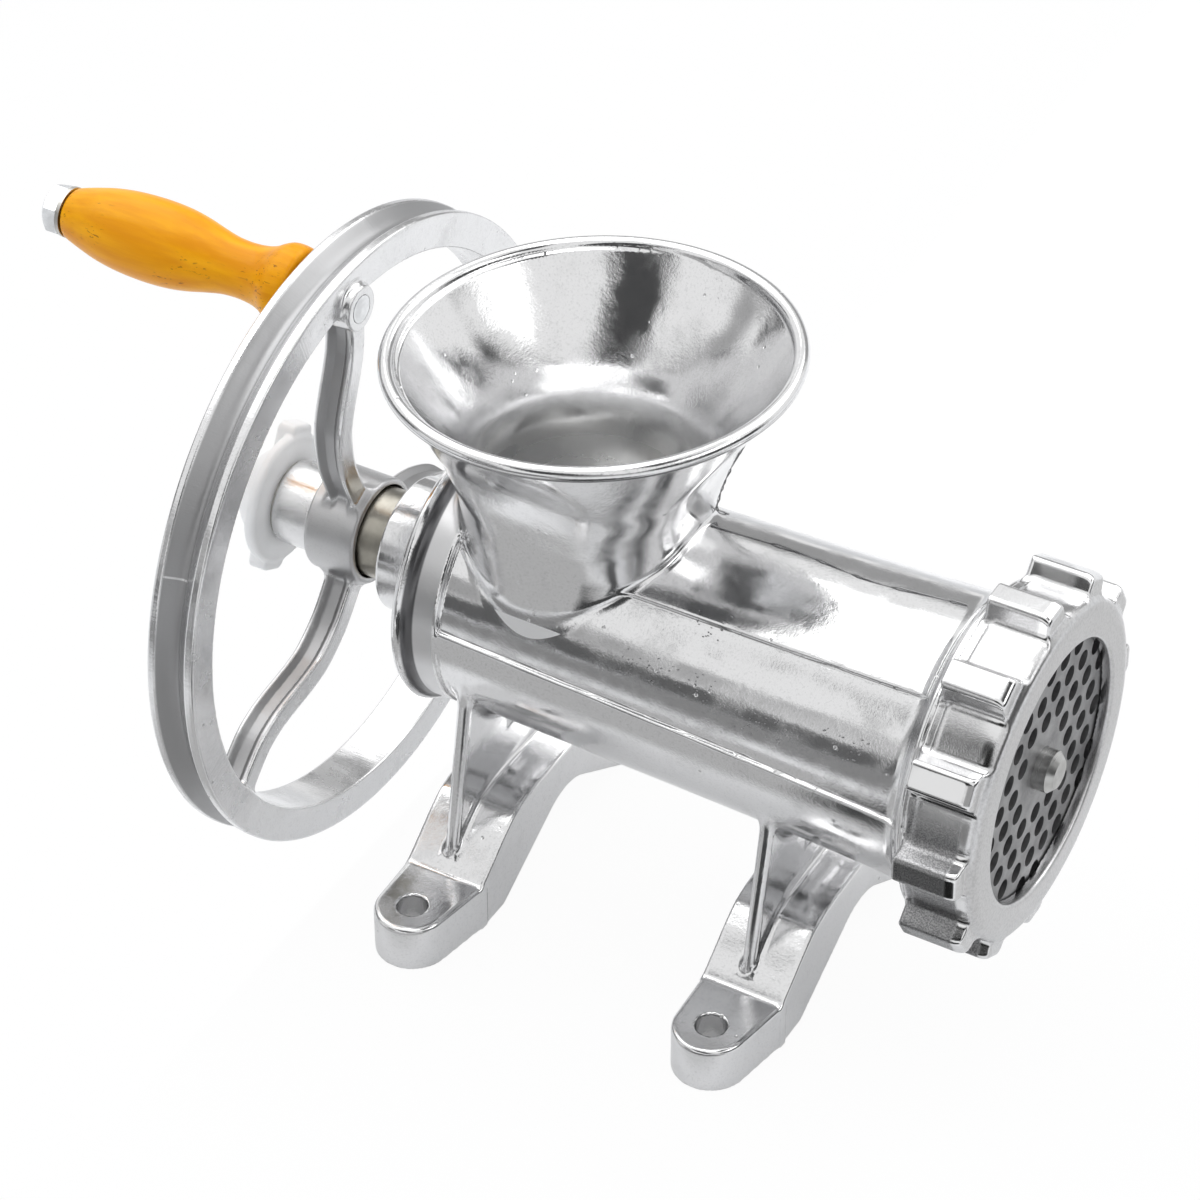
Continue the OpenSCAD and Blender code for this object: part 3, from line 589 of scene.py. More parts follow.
def legField(b, holeX):
    c = casting
    y, z, x = np.abs(b.y), b.z, b.x - holeX
    rise = c["backH"] - c["footT"]
    top = (z - curve(y, [(c["footIn"] * p, c["footT"] + rise * q) for p, q in c["back"]])) * 0.82
    slope = radians(degrees(atan(c["archH"] / c["archY"])) + c["archFlare"])
    apex = (c["archY"] * tan(slope) - c["archH"]) / (1 / cos(slope) - 1)  # the arc's radius
    straight = (c["archY"] - y) * sin(slope) - z * cos(slope)
    arc = apex - np.hypot(y, z - (c["archH"] - apex))
    inArc = y < apex * sin(slope)
    arch = np.where(inArc & (z > c["archH"] - apex), arc, straight)
    band = pare(pare(top, arch, 0.8), within(x, -c["legBack"], c["legFront"]), 1.2)
    band = np.maximum(np.maximum(band, y - c["footIn"] - 0.5), -z)
    edge = (y - (c["webFoot"] - (z - c["footT"]) * (c["webFoot"] - c["webTop"]) / c["webRise"])) * 0.98
    web = pare(np.abs(x) - c["webT"] / 2, edge + 1, 0.6)
    web = pare(web, within(z, c["footT"], axisZ - c["webEnd"]), 0.5)
    tip = np.maximum(c["footT"] + c["beadFoot"] - z, 0)
    bead = np.sqrt(x * x + (edge + c["webBead"]) ** 2 + tip * tip) - c["webBead"]
    bead = np.maximum(bead, z - axisZ + c["webEnd"])
    leg = soften(band, soften(np.maximum(web, arch), bead, 0.5), 2.0)
    foot = pare(pare(footPlan(x, c["holeY"] - y), z - c["footT"], 1.7), -z, 0.4)
    return pare(soften(leg, foot, 0.8), c["holeR"] - np.hypot(x, y - c["holeY"]), 0.5)


def castingField(b):
    c = casting
    h, r = polar(b)
    radius = curve(b.x, c["barrel"])
    solid = pare(r - radius, within(b.x, c["barrelBack"], bodyHi[0]), 0.8)
    # the step along the side, and the land on the top
    stepLine = h - (c["stepRise"] - b.x * tan(radians(c["stepFall"])))
    lower = pare(r - (radius + c["step"]), stepLine, 0.9)
    solid = soften(solid, pare(lower, within(b.x, c["barrelBack"], c["stepFront"]), 0.4), 0.5)
    land = radians(c["landHalf"])
    upper = pare(r - (radius + c["land"]), np.abs(b.y) * cos(land) - h * sin(land), 0.9)
    solid = soften(solid, pare(upper, within(b.x, c["hopperX"], c["landFront"]), 0.4), 0.5)
    # the rail underneath, which falls towards the outlet, and its rib
    low = h + c["railDrop"] + (b.x + c["railFrom"]) * tan(radians(c["railFall"]))
    rail = pare(np.abs(b.y) - c["railHalf"], within(low, 0, c["railT"]), 0.9)
    rail = pare(rail, within(b.x, *c["railEnds"]), 0.8)
    rib = pare(np.abs(b.y) - c["ribHalf"], within(low, *c["ribRise"]), 0.6)
    rib = pare(rib, within(b.x, *c["ribEnds"]), 2)
    solid = soften(solid, soften(rail, rib, 2.5), 2.5)
    flange = pare(r - curve(b.x, c["flange"]), within(b.x, *c["flangeEnds"]), 0.8)
    boss = roundBar(r, b.x, c["bossR"], c["bossBack"], c["barrelBack"], 0.9)
    solid = soften(solid, soften(flange, boss, 1.6), 0.6)
    level, line = acrossRim(b.x - c["hopperX"], h - c["hopperH"])
    rimLine = line + c["beadR"]
    hopper = pare(pare(funnel(b), rimLine, 0.5), -(h + 1), 0.5)
    solid = soften(solid, hopper, 2.2)
    for x in (-c["holeX"], c["holeX"]):
        solid = soften(solid, legField(b, x), 3.5)
    throat = np.hypot(b.x - hopperMiddle(h), b.y) - curve(h, c["throat"])
    inside = pare(throat * 0.9, -h, 0.5)
    bore = pare(r - c["boreR"], c["boreBack"] - b.x, 0.8)
    seat = pare(r - c["seatR"], c["seatX"] - b.x, 0.4)
    hollow = np.minimum(soften(inside, bore, 2.0), np.minimum(seat, r - c["bushR"]))
    bead = np.hypot(np.hypot(level, b.y) - (c["rimR"] - c["beadR"]), rimLine) - c["beadR"]
    return soften(pare(solid, -hollow, 0.6), bead, 0.7)


def makeCasting():
    obj = fieldObject("casting", castingField, bodyLo, bodyHi, casting)
    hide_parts("grinder_body")
    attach(obj, "casting")
    return obj


cast = makeCasting()
paint(cast, polishedCast("casting, polished aluminium", {}, [
    # the throat, rougher as cast and painted lighter as light reaching into it
    {"where": throatRawAndLitPart, "color": (0.92, 0.92, 0.92), "rough": 0.30, "loss": 0.3},
    # the flange's rim band, painted darker
    {"where": flangePart("band"), "color": (0.64, 0.64, 0.645), "rough": 0.30, "loss": 0.0},
    # the cove behind the flange's bead, painted near black as shade in the recess
    {"where": flangePart("cove"), "color": (0.15, 0.15, 0.155), "rough": 0.30, "loss": 0.0},
    # the rim bead's underside, painted dark as shade and reflection
    {"where": rimUnderShadePart, "color": (0.22, 0.22, 0.225), "rough": 0.25, "loss": 0.0},
]))

# the ring nut

ringNut = {
    "cell": 0.42, "triangles": 180000,
    "openR": 37, "boreR": 44.55, "lip": 3.4, "shoulderR": 44.6,
    # the body's steps behind its round edge: how far in, and from where
    "bodyR": 48, "bodyBack": 2.6, "bodyRound": 3.2, "steps": [(1.4, 0), (0.6, 1.5)], "stepFront": 3,
    "lugs": 12, "lugR": 54, "lugHalf": 4, "lugDraft": 1.3, "lugTurn": 1.5, "lugFront": 3.2, "lugBack": 2,
    "lugRound": 5, "lugNose": 1.2,
}


def ringField(b):
    c = ringNut
    lo, hi = ringLo[0], ringHi[0]
    h, r = polar(b)
    body = roundBar(r, b.x, c["bodyR"], lo + c["bodyBack"], hi + 4, c["bodyRound"])
    shoulder = (r - c["shoulderR"] + (b.x - hi)) * 0.707
    body = pare(pare(body, b.x - hi, 1.2), shoulder - 1.6, 2.0)
    for drop, back in c["steps"]:
        body = np.minimum(body, roundBar(r, b.x, c["bodyR"] - drop, lo + back, hi - c["stepFront"], 0.5))
    pitch = 2 * pi / c["lugs"]
    turn = np.arctan2(b.y, h) + radians(c["lugTurn"])
    off = (turn + pitch / 2) % pitch - pitch / 2
    across, out = np.abs(r * np.sin(off)), r * np.cos(off)
    side = (across - c["lugHalf"] - (c["lugR"] - out) * c["lugDraft"] / (c["lugR"] - c["bodyR"])) * 0.97
    back, front = lo + c["lugBack"], hi - c["lugFront"]
    # a lug is square behind and round in front
    rounded = roundBar(out, b.x, c["lugR"], back, front + 3, c["lugRound"])
    square = roundBar(out, b.x, c["lugR"], back, front - c["lugRound"], 0.8)
    lugs = pare(pare(np.minimum(rounded, square), side, 1.5), b.x - front - c["lugNose"], 1.0)
    bore = pare(r - c["boreR"], b.x - (hi - c["lip"]), 0.3)
    return pare(soften(body, lugs, 2.0), -np.minimum(bore, r - c["openR"]), 1.3)


def makeRing():
    obj = fieldObject("ringNut", ringField, ringLo, ringHi, ringNut)
    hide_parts("ring_nut")
    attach(obj, "ring")
    return obj


ring = makeRing()
paint(ring, ringFinish())

# the crank wheel

wheel = {
    "cell": 0.5, "triangles": 190000,
    "rimR": 93.2, "innerR": 82.9, "rimW": 14.7, "groove": 3.4,
    # the hub's front from its tail, and the rim's and the spokes' fronts from that
    "hubFront": 26, "rimFront": 3, "spokeFront": 1,
    "hubR": 15.6, "hubT": 13, "tailR": 12.4, "nose": 3.6, "sinkR": 13.8, "sink": 6, "squareHalf": 8,
    "bossR": 6.6, "bossOut": 2.7, "boltR": 3.9,
    "spokes": 3, "angle": 84, "spokeT": 9, "spokeHalf": 3.3, "webHalf": 1.7, "edgeT": 2.9,
    # radii, and degrees round at them
    "spokeLine": [(11, -17), (20, -16.5), (25, -16.2), (29, -15.5), (35, -13.3), (41, -10.5), (46, -7),
                  (51, -3.5), (57, 0), (63, 2.2), (69, 3), (76, 2.4), (85, 1)],
    # lengths over which the places left as cast and painted with shade begin or end, from the nearest edge
    "rawShadeGroove": ((2.3, 2.9), (8.4, 9.0)), "rawShadeIn": (3, 3.5), "rawShadeDeep": (-1.4, -0.6),
    "rawShadeRoot": (0.5, 2), "rawShadeTip": (-2, -0.5), "rawShadeHub": (-13.6, -12.6),
    "seamTurn": 23, "seam": (0.0002, 0.0004),
}
hubFront = wheelLo[0] + wheel["hubFront"]
rimFront = hubFront + wheel["rimFront"]
rimBack = rimFront - wheel["rimW"]
spokeMiddle = hubFront + wheel["spokeFront"] - wheel["spokeT"] / 2


def spokeDistance(y, h):
    # distance in the wheel's plane to the nearest spoke's centre line
    best = np.full(np.broadcast(y, h).shape, np.inf, np.float32)
    line = wheel["spokeLine"]
    radii = np.arange(line[0][0], line[-1][0] + 1, 1.5)
    for i in range(wheel["spokes"]):
        base = wheel["angle"] + 360 / wheel["spokes"] * i
        angles = np.radians(base + curve(radii, line))
        pts = list(zip(-radii * np.cos(angles), radii * np.sin(angles)))
        for (y0, z0), (y1, z1) in zip(pts, pts[1:]):
            ey, ez = y1 - y0, z1 - z0
            t = np.clip(((y - y0) * ey + (h - z0) * ez) / (ey * ey + ez * ez), 0, 1)
            best = np.minimum(best, np.hypot(y - y0 - t * ey, h - z0 - t * ez))
    return best


def wheelField(b):
    c = wheel
    h, r = polar(b)
    groove = [(rimBack + 2.2, 0), (rimBack + 2.6, 0.25), (rimBack + 7.6, c["groove"]),
              (rimBack + 8.6, c["groove"] * 0.92), (rimFront - 2.8, 0.2), (rimFront - 2.4, 0)]
    outside = (r - (c["rimR"] - curve(b.x, groove))) * 0.88
    rim = pare(pare(outside, c["innerR"] - r, 0.9), within(b.x, rimBack, rimFront), 0.9)
    deep = np.abs(b.x - spokeMiddle) - c["spokeT"] / 2
    wide = np.clip((deep + c["edgeT"]) / 1.4, 0, 1)
    spokes = spokeDistance(b.y, h) - (c["webHalf"] + (c["spokeHalf"] - c["webHalf"]) * wide)
    spokes = np.maximum(pare(spokes, deep, 1.3), r - c["innerR"] - 2)
    front = roundBar(r, b.x, c["hubR"], hubFront - c["hubT"], hubFront + c["nose"], 1.0)
    tail = roundBar(r, b.x, c["tailR"], wheelLo[0], hubFront - 5, 0.7)
    hub = soften(front, tail, 1.5)
    fromGrip = np.hypot(b.y - gripY, b.z - gripZ)
    boss = roundBar(fromGrip, b.x, c["bossR"], rimBack, rimFront + c["bossOut"], 0.7)
    solid = soften(soften(rim, spokes, 3.0), soften(hub, spokes, 3.5), 0.5)
    solid = soften(solid, boss, 2.2)
    solid = pare(solid, -pare(r - c["sinkR"], hubFront + c["nose"] - c["sink"] - b.x, 0.2), 0.5)
    solid = pare(solid, c["squareHalf"] - np.maximum(np.abs(b.y), np.abs(h)), 0.2)
    return pare(solid, c["boltR"] - fromGrip, 0.3)


def makeWheel():
    obj = fieldObject("crankWheel", wheelField, wheelLo, wheelHi, wheel)
    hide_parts("hand_wheel")
    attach(obj, "rotor")
    return obj


def wheelRawShadePart(x, y, z):
    # the rim's groove but for its seam, the spokes' recessed webs and the hub's side: rougher as cast, and
    # painted darker as shade in these recesses
    c = wheel
    r, along = fromAxis(y, z) * (1 / mm), x * (1 / mm)
    inner, side = r - c["innerR"], r - c["hubR"]
    turn = radians(c["seamTurn"])
    line = (z - axisZ * mm) * cos(turn) + y * sin(turn)
    seam = (1 - line.math("ABSOLUTE").span(*c["seam"])) * (y < 0)
    groove = (along - rimBack).between(*c["rawShadeGroove"]) * inner.span(*c["rawShadeIn"]) * (1 - seam * 0.9)
    deep = (along - spokeMiddle).math("ABSOLUTE") - c["spokeT"] / 2
    spokes = side.span(*c["rawShadeRoot"]) * (1 - inner.span(*c["rawShadeTip"])) * (1 - deep.span(*c["rawShadeDeep"]))
    hub = (1 - side.span(*c["rawShadeRoot"])) * (along - hubFront).span(*c["rawShadeHub"])
    return groove.high(spokes).high(hub * 0.6)


crank = makeWheel()
paint(crank, polishedCast("wheel, polished aluminium",
                          {"waveSize": 0.022, "waveDepth": 0.0006, "roughLow": 0.16, "roughHigh": 0.34,
                           "pitDepth": 0.00005, "lineDepth": 0.00003},
                          # the groove, spoke webs and hub side, painted darker as shade
                          [{"where": wheelRawShadePart, "color": (0.38, 0.38, 0.385), "rough": 0.42, "loss": 0.0}]))

# the plastic nut

plasticNut = {
    "cell": 0.35, "triangles": 60000,
    # discPart and wingPart are parts of the nut's thickness
    "radius": 19.5, "discPart": 0.26, "domeR": 17.4, "domeRise": 16.4,
    "wingReach": 21.9, "wingHalf": 5, "wingIn": 12, "wingPart": 0.5, "wingTurn": -27,
    "hexHalf": 7.5, "hexDeep": 8, "boreR": 4.96, "boreBack": 2.6,
}


def nutField(b):
    c = plasticNut
    lo, hi = nutLo[0], nutHi[0]
    t = hi - lo
    h, r = polar(b)
    disc = roundBar(r, b.x, c["radius"], hi - c["discPart"] * t, hi, 1.4)
    dome = np.hypot(r / 0.9, (b.x - hi) * c["domeRise"] / t) - c["domeR"]
    dome = pare(dome * 0.8, within(b.x, lo, hi), 2.2)
    a = radians(c["wingTurn"])
    along = b.y * -sin(a) + h * cos(a)
    across = b.y * cos(a) + h * sin(a)
    wings = pare(np.abs(across) - c["wingHalf"], np.abs(along) - c["wingReach"], 2.5)
    wings = pare(wings, within(b.x, hi - c["wingPart"] * t, hi - 0.5), 1.2)
    solid = soften(soften(disc, dome, 2.0), pare(wings, c["wingIn"] - r, 0.5), 0.8)
    # a socket of two hexagons, one turned by 30 degrees
    y, up = np.abs(b.y), np.abs(h)
    hexA, hexB = [np.maximum(p * 0.5 + q * 0.866, p) - c["hexHalf"] for p, q in ((y, up), (up, y))]
    socket = pare(np.minimum(hexA, hexB), hi - c["hexDeep"] - b.x, 0.2)
    bore = pare(r - c["boreR"], lo + c["boreBack"] - b.x, 0.2)
    return pare(solid, -np.minimum(socket, bore), 0.3)


def makeNut():
    obj = fieldObject("plasticNut", nutField, nutLo, nutHi, plasticNut)
    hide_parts("wing_nut")
    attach(obj, "plastic_nut")
    return obj


nut = makeNut()
paint(nut, plasticFinish())

# the wooden grip

grip = {
    "bore": 5.06,
    # parts of the grip's length from the wheel's side, and radii
    "shape": [(0.0, 10.3), (0.006, 11.0), (0.02, 11.5), (0.05, 11.75), (0.075, 11.6), (0.1, 10.8),
              (0.13, 9.5), (0.17, 8.5), (0.22, 8.0), (0.27, 7.95), (0.32, 8.3), (0.38, 9.25), (0.45, 10.5),
              (0.52, 11.4), (0.6, 11.83), (0.68, 11.8), (0.76, 11.4), (0.84, 10.5), (0.91, 9.2),
              (0.965, 8.0), (0.99, 7.3), (1.0, 6.6)],
    "around": 96, "smooth": 5,
}


def makeGrip():
    pts = [Vector((gripHi[0] - (gripHi[0] - gripLo[0]) * t, r, 0)) for t, r in grip["shape"]]
    side = []
    for i in range(len(pts) - 1):  # a curve through every point
        p0, p1, p2, p3 = pts[max(i - 1, 0)], pts[i], pts[i + 1], pts[min(i + 2, len(pts) - 1)]
        for k in range(grip["smooth"]):
            t = k / grip["smooth"]
            side.append(0.5 * ((2 * p1) + (p2 - p0) * t + (2 * p0 - 5 * p1 + 4 * p2 - p3) * t * t
                               + (3 * p1 - p0 - 3 * p2 + p3) * t ** 3))
    side.append(pts[-1])
    side = [Vector((gripHi[0], grip["bore"], 0))] + side + [Vector((gripLo[0], grip["bore"], 0))]
    n, m = grip["around"], len(side)
    turns = [(cos(2 * pi * j / n), sin(2 * pi * j / n)) for j in range(n)]
    verts = [(p.x * mm, (gripY + p.y * u) * mm, (gripZ + p.y * v) * mm) for p in side for u, v in turns]
    faces = [(i * n + j, i * n + (j + 1) % n, ((i + 1) % m) * n + (j + 1) % n, ((i + 1) % m) * n + j)
             for i in range(m) for j in range(n)]
    obj = meshObject("woodenGrip", verts, faces)
    bm = bmesh.new()
    bm.from_mesh(obj.data)
    bmesh.ops.recalc_face_normals(bm, faces=bm.faces)
    bm.to_mesh(obj.data)
    bm.free()
    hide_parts("handle_grip")
    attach(obj, "grip")
    return obj


woodGrip = makeGrip()
paint(woodGrip, woodFinish())

# flash along the mould's parting lines, a nub on one of them and fine spatter

class Flow(Tree):
    # a geometry node tree whose named inputs are sizes
    def __init__(self, name, floats, material):
        self.tree = bpy.data.node_groups.new(name, "GeometryNodeTree")
        socket = self.tree.interface.new_socket
        socket("Geometry", in_out="INPUT", socket_type="NodeSocketGeometry")
        self.ids = {key: socket(key, in_out="INPUT", socket_type="NodeSocketFloat").identifier
                    for key in floats}
        socket("Geometry", in_out="OUTPUT", socket_type="NodeSocketGeometry")
        self.floats = floats
        self.material = material
        self.start = self.add("NodeGroupInput")

    def node(self, kind, settings=None, inputs=None, out=0):
        return self.add(kind, settings, inputs).outputs[out]

    def given(self, key):
        return self.start.outputs[key]

    def finish(self, geometry):
        solid = self.node("GeometryNodeRealizeInstances", {}, {0: geometry})
        painted = self.node("GeometryNodeSetMaterial", {}, {"Geometry": solid, "Material": self.material})
        self.tree.links.new(painted, self.add("NodeGroupOutput").inputs[0])
        return self

    def run(self, obj):
        # the object with the tree's result as a plain mesh
        modifier = obj.modifiers.new(self.tree.name, "NODES")
        modifier.node_group = self.tree
        for key, v in self.floats.items():
            modifier[self.ids[key]] = float(v)
        return settled(obj)


flash = {
    # the hopper's side, seen from its middle: degrees round from the outlet's side, and heights
    "hopperSide": 25, "hopperHeights": (34, 82), "points": 40,
    # the barrel's top: degrees over it towards the near side, the line's ends and how it wanders
    "topSide": -8, "topEnds": (8, 84),
    "wander": 2.2, "wanderLength": 13, "wanderMiddle": 52, "wanderSpread": 26,
    "thick": 0.24, "roughness": 0.22, "lumps": 900.0, "segments": 260, "sides": 6,
    # searches for the surface: how far out they start, how far they go, and their steps
    "hopperFrom": 66, "hopperReach": 60, "barrelFrom": 46, "barrelReach": 20, "stride": 0.5,
}
nub = {"height": 68, "size": 0.9}  # on the hopper's line
spatter = {
    # along the barrel, degrees down its near side, half sizes, and flecks to a square centimetre
    "patches": [(24, 38, 5, 6), (16, 64, 15, 6), (46, 70, 8, 5), (70, 66, 7, 6)], "grid": 9,
    "count": 26, "size": 0.17, "least": (0.5, 0.5, 0.3), "most": (2.2, 1.5, 0.9), "seed": 4,
}


def seamFlow(material):
    f = Flow("flash seam", {"Thick": flash["thick"] * mm, "Rough": flash["roughness"] * mm}, material)
    path = f.node("GeometryNodeMeshToCurve", {}, {"Mesh": f.given("Geometry")})
    path = f.node("GeometryNodeResampleCurve", {}, {"Curve": path, "Count": flash["segments"]})
    wobble = f.node("ShaderNodeTexNoise", {}, {"Scale": flash["lumps"], "Detail": 2.0}, out=1)
    centred = f.node("ShaderNodeVectorMath", {"operation": "SUBTRACT"}, {0: wobble, 1: (0.5, 0.5, 0.5)})
    shift = f.node("ShaderNodeVectorMath", {"operation": "SCALE"}, {0: centred, "Scale": f.given("Rough")})
    path = f.node("GeometryNodeSetPosition", {}, {"Geometry": path, "Offset": shift})
    section = f.node("GeometryNodeCurvePrimitiveCircle", {},
                     {"Resolution": flash["sides"], "Radius": f.given("Thick")})
    tube = f.node("GeometryNodeCurveToMesh", {},
                  {"Curve": path, "Profile Curve": section, "Fill Caps": True})
    return f.finish(f.node("GeometryNodeSetShadeSmooth", {}, {0: tube}))


def spatterFlow(material):
    f = Flow("metal spatter", {"Density": spatter["count"] * 1e4, "Size": spatter["size"] * mm}, material)
    points = f.node("GeometryNodeDistributePointsOnFaces", {"distribute_method": "RANDOM"},
                    {"Mesh": f.given("Geometry"), "Density": f.given("Density"), "Seed": spatter["seed"]})
    turn = points.node.outputs["Rotation"]
    fleck = f.node("GeometryNodeMeshIcoSphere", {}, {"Radius": f.given("Size"), "Subdivisions": 2})
    grow = f.node("FunctionNodeRandomValue", {"data_type": "FLOAT_VECTOR"},
                  {"Min": spatter["least"], "Max": spatter["most"], "Seed": spatter["seed"] + 1})
    return f.finish(f.node("GeometryNodeInstanceOnPoints", {},
                           {"Points": points, "Instance": fleck, "Rotation": turn, "Scale": grow}))


def landed(starts, way, reach, sink=0.15):
    # where lines from the starts, all going one way, first meet the casting
    stride = flash["stride"]
    way = np.array(way)
    near = np.zeros(len(starts))
    for _ in range(int(reach / stride)):
        outside = castingField(Cloud(starts + way * (near + stride)[:, None])) > 0
        near = np.where(outside, near + stride, near)
    return starts + way * (near + stride * sink)[:, None]


def hopperSeam():
    heights = np.linspace(*flash["hopperHeights"], flash["points"])
    a, out = radians(flash["hopperSide"]), flash["hopperFrom"]
    starts = np.column_stack([hopperMiddle(heights) + out * cos(a),
                              np.full_like(heights, out * sin(a)), heights + axisZ])
    return landed(starts, (-cos(a), -sin(a), 0), flash["hopperReach"])


def onBarrel(along, turn, aside=0, sink=0.15):
    # places on the barrel, some way along it and turned from its top towards the near side
    a, out = radians(turn), flash["barrelFrom"]
    starts = np.column_stack([along, np.full_like(along, -out * sin(a)) + aside,
                              np.full_like(along, axisZ + out * cos(a))])
    return landed(starts, (0, sin(a), -cos(a)), flash["barrelReach"], sink)


def topSeam():
    c = flash
    along = np.linspace(*c["topEnds"], c["points"])
    fade = np.exp(-((along - c["wanderMiddle"]) / c["wanderSpread"]) ** 2)
    return onBarrel(along, c["topSide"], c["wander"] * np.sin(along / c["wanderLength"]) * fade)


def spatterPatch(x, turn, halfX, halfTurn):
    # the points of a small patch of the barrel's surface
    along = x + halfX * np.linspace(-1, 1, spatter["grid"])
    turns = np.linspace(turn - halfTurn, turn + halfTurn, spatter["grid"])
    return np.concatenate([onBarrel(along, t, sink=0.1) for t in turns])


def makeFlash():
    finish = polishedCast("flash and spatter, raw aluminium",
                          {"color": (0.30, 0.30, 0.305), "roughLow": 0.3, "roughHigh": 0.5})
    seam = hopperSeam()
    n = len(seam)
    edges = [(first + i, first + i + 1) for first in (0, n) for i in range(n - 1)]
    lines = meshObject("seams", np.concatenate([seam, topSeam()]) * mm, [], edges, smooth=False)
    patches = [spatterPatch(*patch) for patch in spatter["patches"]]
    faces = [tuple(k * len(patch) + i for i in quad)
             for k, patch in enumerate(patches) for quad in gridFaces(spatter["grid"])]
    ground = meshObject("spatter", np.concatenate(patches) * mm, faces)
    parts = [seamFlow(finish).run(lines), spatterFlow(finish).run(ground)]
    bm = bmesh.new()
    for part in parts:
        bm.from_mesh(part.data)
        bpy.data.objects.remove(part)
    nearest = np.argmin(np.abs(seam[:, 2] - axisZ - nub["height"]))
    lump = bmesh.ops.create_icosphere(bm, subdivisions=2, radius=nub["size"] * mm)
    bmesh.ops.translate(bm, verts=lump["verts"], vec=Vector(seam[nearest] * mm))
    mesh = bpy.data.meshes.new("castingFlash")
    bm.to_mesh(mesh)
    bm.free()
    mesh.shade_smooth()
    obj = newObject("castingFlash", mesh)
    paint(obj, finish)
    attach(obj, "casting")
    print("castingFlash", len(mesh.polygons), "faces")


makeFlash()

# finishes of the pieces kept from the frame

smoothAngle = 32  # degrees
steel = steelFinish("steel, machined", (0.62, 0.61, 0.58), 0.26)
kept = {
    "grinding_plate": plateFinish(),
    "auger_shaft": steelFinish("shaft, yellowed steel", (0.42, 0.40, 0.35), 0.24,
                               (0.0006, 0.003, 0.003), 0.00005),
    "auger_pin": steelFinish("pin, turned steel", (0.55, 0.55, 0.54), 0.22, (0.0006, 0.01, 0.01), 0.00003),
    "auger_worm": polishedCast("worm, tinned casting",
                               {"roughLow": 0.38, "roughHigh": 0.55, "color": (0.8, 0.8, 0.79)}),
    "cutting_knife": steelFinish("knife, ground steel", (0.5, 0.5, 0.5), 0.25),
    "shaft_bush": steelFinish("bush, bronze", (0.62, 0.42, 0.2), 0.25),
    "thrust_washer": plainPlastic("washer, white nylon", (0.8, 0.8, 0.78)),
    "nut_insert": steelFinish("insert, brass", (0.75, 0.58, 0.26), 0.22),
    "handle_bolt": steelFinish("bolt, bright chrome", (0.86, 0.87, 0.88), 0.12,
                               (0.01, 0.01, 0.01), 0.00001),
}
plainSteel = ("plate_pin", "crank_stud", "stud_washer", "grip_sleeve", "grip_washer_inner",
              "grip_washer_outer")
kept |= dict.fromkeys(plainSteel, steel)
for name, material in kept.items():
    paint(nodes[name], material)
    nodes[name].data.shade_smooth()
    nodes[name].data.set_sharp_from_angle(angle=radians(smoothAngle))
print("finishes set")

# stage, lights and camera

stage = {"edge": -0.080, "drop": 0.35, "reach": 6.0, "color": (0.9, 0.9, 0.9, 1), "seen": 0.95,
         "mirrored": 0.2}
white = (1, 1, 1, 1)


def lightPath(s, camera, mirrored):
    # a factor for camera rays, and another for reflected and transmitted ones
    path = s.add("ShaderNodeLightPath")
    eye, gloss, through = [Sock(s, path.outputs["Is %s Ray" % kind])
                           for kind in ("Camera", "Glossy", "Transmission")]
    return eye * camera + gloss.high(through) * mirrored


def stageFinish():
    # white to the eye, with the object's shadow kept faintly
    s = Shade("stage, white")
    seen = lightPath(s, stage["seen"], stage["mirrored"])
    plain = s.node("ShaderNodeBsdfDiffuse", {}, {"Color": stage["color"]})
    glow = s.node("ShaderNodeEmission", {}, {"Color": white, "Strength": 1.0})
    return s.end(s.node("ShaderNodeMixShader", {}, {0: seen, 1: plain, 2: glow}))


def makeStage():
    # a bench that stops before the wheel, and the floor below it
    e, d, f = stage["edge"], stage["drop"], stage["reach"]
    verts = [(e, -f, 0), (f, -f, 0), (f, f, 0), (e, f, 0),
             (e, -f, -d), (e, f, -d), (-f, -f, -d), (-f, f, -d)]
    obj = meshObject("bench", verts, [(0, 1, 2, 3), (4, 0, 3, 5), (6, 4, 5, 7)], smooth=False)
    paint(obj, stageFinish())


makeStage()

world = {"color": (0.95, 0.97, 1.0, 1), "strength": 0.7}


def makeWorld():
    data = bpy.data.worlds.new("studio")
    bpy.context.scene.world = data
    s = Shade("studio, white surroundings", data)
    seen = lightPath(s, 1.0, 1.0)
    dim = s.node("ShaderNodeBackground", {}, {"Color": world["color"], "Strength": world["strength"]})
    plain = s.node("ShaderNodeBackground", {}, {"Color": white, "Strength": 1.0})
    s.end(s.node("ShaderNodeMixShader", {}, {0: seen, 1: dim, 2: plain}))


makeWorld()

# lamps and cards: degrees round from the near side towards the outlet, and up; sizes in metres
lamps = {
    "topBox": {"round": -108, "up": 58, "far": 1.8, "size": (2.0, 1.5), "glow": 1.45},
    "backBox": {"round": 160, "up": 44, "far": 1.9, "size": (1.6, 0.9), "glow": 1.8},
    "rightBox": {"round": 92, "up": 42, "far": 1.8, "size": (0.8, 0.8), "glow": 1.5},
    "overBox": {"round": 0, "up": 89, "far": 1.5, "size": (0.5, 0.5), "glow": 3.0},
}
cards = {
    "streakCard": {"round": (-38, -13), "up": (-5, 10), "tone": 0.08},
    "softCard": {"round": (-84, -15), "up": (9, 24), "tone": 0.40},
    "aheadCard": {"round": (-2, 46), "up": (14, 50), "lean": -32, "tone": 0.01},
    "overheadCard": {"round": (56, 108), "up": (48, 76), "tone": 0.03},
    "nearCard": {"round": (10, 60), "up": (0, 18), "tone": 0.40},
    "leftCard": {"round": (-106, -62), "up": (-4, 14), "tone": 0.04},
    "rightCard": {"round": (50, 126), "up": (-4, 26), "tone": 0.02},
    "farCard": {"round": (160, 225), "up": (2, 30), "tone": 0.34},
}
cardFar, cardApart = 1.25, 0.01  # each card stands a little nearer than the one before
cardSteps, cardFade = 8, 0.14
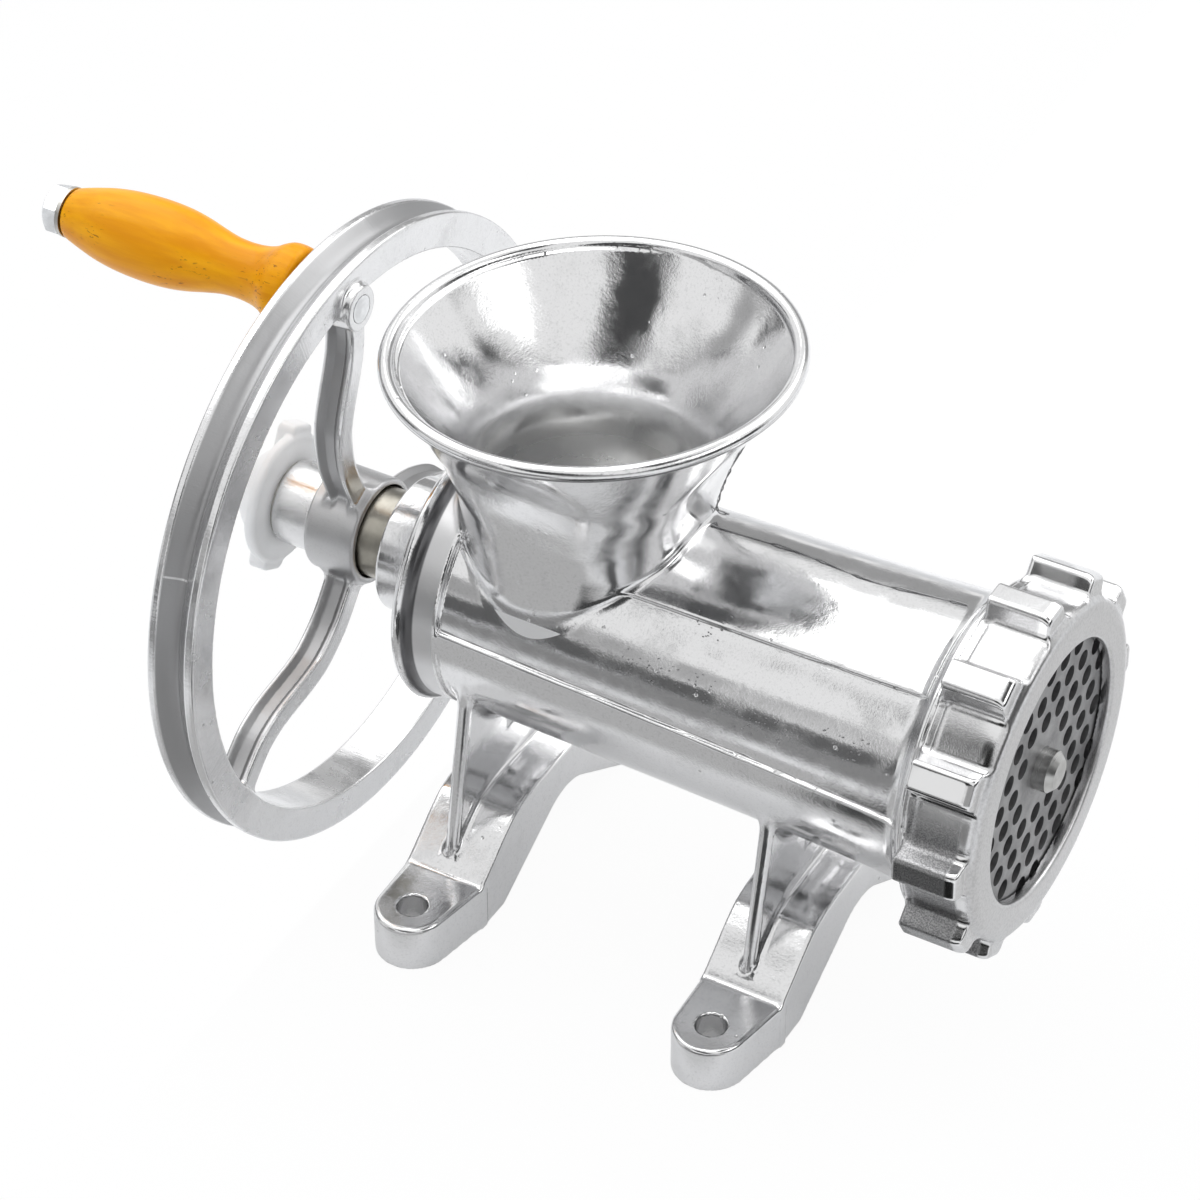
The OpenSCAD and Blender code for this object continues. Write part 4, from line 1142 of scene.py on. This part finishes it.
benchCards = {
    "benchNear": {"x": (-0.18, 0.130), "y": (-0.225, -0.0745), "tone": 0.50},
    "benchCorner": {"x": (0.004, 0.170), "y": (-0.275, -0.092), "tone": 0.01, "fade": 0.12},
    "benchFar": {"x": (-0.45, 0.130), "y": (-1.20, -0.205), "tone": 0.24},
    "benchRight": {"x": (0.122, 0.34), "y": (-0.12, 0.42), "tone": 0.80},
}
benchRise = 0.0004
target = Vector((-0.02, 0, 0.08))


def direction(turn, up):
    a, e = radians(turn), radians(up)
    return Vector((sin(a) * cos(e), -cos(a) * cos(e), sin(e)))


def softLight(name, c):
    data = bpy.data.lights.new(name, "AREA")
    data.shape = "RECTANGLE"
    data.size, data.size_y = c["size"]
    data.energy = c["glow"] * pi * data.size * data.size_y
    obj = newObject(name, data)
    obj.location = target + c["far"] * direction(c["round"], c["up"])
    obj.rotation_euler = (target - obj.location).to_track_quat("-Z", "Y").to_euler()


def greyCard(name, corner, steps, tone, fade):
    # a grey card that only reflections see, fading out at its edges; corner turns u and v into a place
    n = steps + 1
    verts = [corner(i / steps, j / steps) for j in range(n) for i in range(n)]
    obj = meshObject(name, verts, gridFaces(n), smooth=False)
    layer = obj.data.uv_layers.new(name="card")
    for loop in obj.data.loops:
        k = loop.vertex_index
        layer.data[loop.index].uv = (k % n / steps, k // n / steps)
    s = Shade(name)
    across, upward = [each.between((0, fade), (1 - fade, 1)) for each in s.xyz(uvCoords)[:2]]
    glow = s.node("ShaderNodeEmission", {}, {"Color": (tone, tone, tone, 1)})
    clear = s.node("ShaderNodeBsdfTransparent")
    paint(obj, s.end(s.node("ShaderNodeMixShader", {}, {0: across * upward, 1: clear, 2: glow})))
    obj.visible_camera = obj.visible_diffuse = obj.visible_shadow = obj.visible_transmission = False


def partWay(ends, t):
    return ends[0] + (ends[1] - ends[0]) * t


def spherePlace(c, far):
    # a place on a sphere round the object, from u and v
    lean = c.get("lean", 0)
    return lambda u, v: target + far * direction(partWay(c["round"], u) + lean * v, partWay(c["up"], v))


def benchPlace(c, z):
    return lambda u, v: (partWay(c["x"], u), partWay(c["y"], v), z)


for name, c in lamps.items():
    softLight(name, c)
for i, (name, c) in enumerate(cards.items()):
    greyCard(name, spherePlace(c, cardFar - cardApart * i), cardSteps, c["tone"], cardFade)
for i, (name, c) in enumerate(benchCards.items()):
    greyCard(name, benchPlace(c, benchRise * (i + 1)), 1, c["tone"], c.get("fade", cardFade))

view = {"place": (0.4193, -0.7647, 0.7845), "down": 38.18, "turn": 30.06, "lens": 122.49}


def makeCamera():
    data = bpy.data.cameras.new("camera")
    data.lens = view["lens"]
    data.clip_start, data.clip_end = 0.05, 20
    obj = newObject("camera", data)
    obj.location = view["place"]
    obj.rotation_euler = (radians(90 - view["down"]), 0, radians(view["turn"]))
    bpy.context.scene.camera = obj


makeCamera()
bpy.context.scene.view_settings.view_transform = "Standard"
print("stage, lights and camera set")
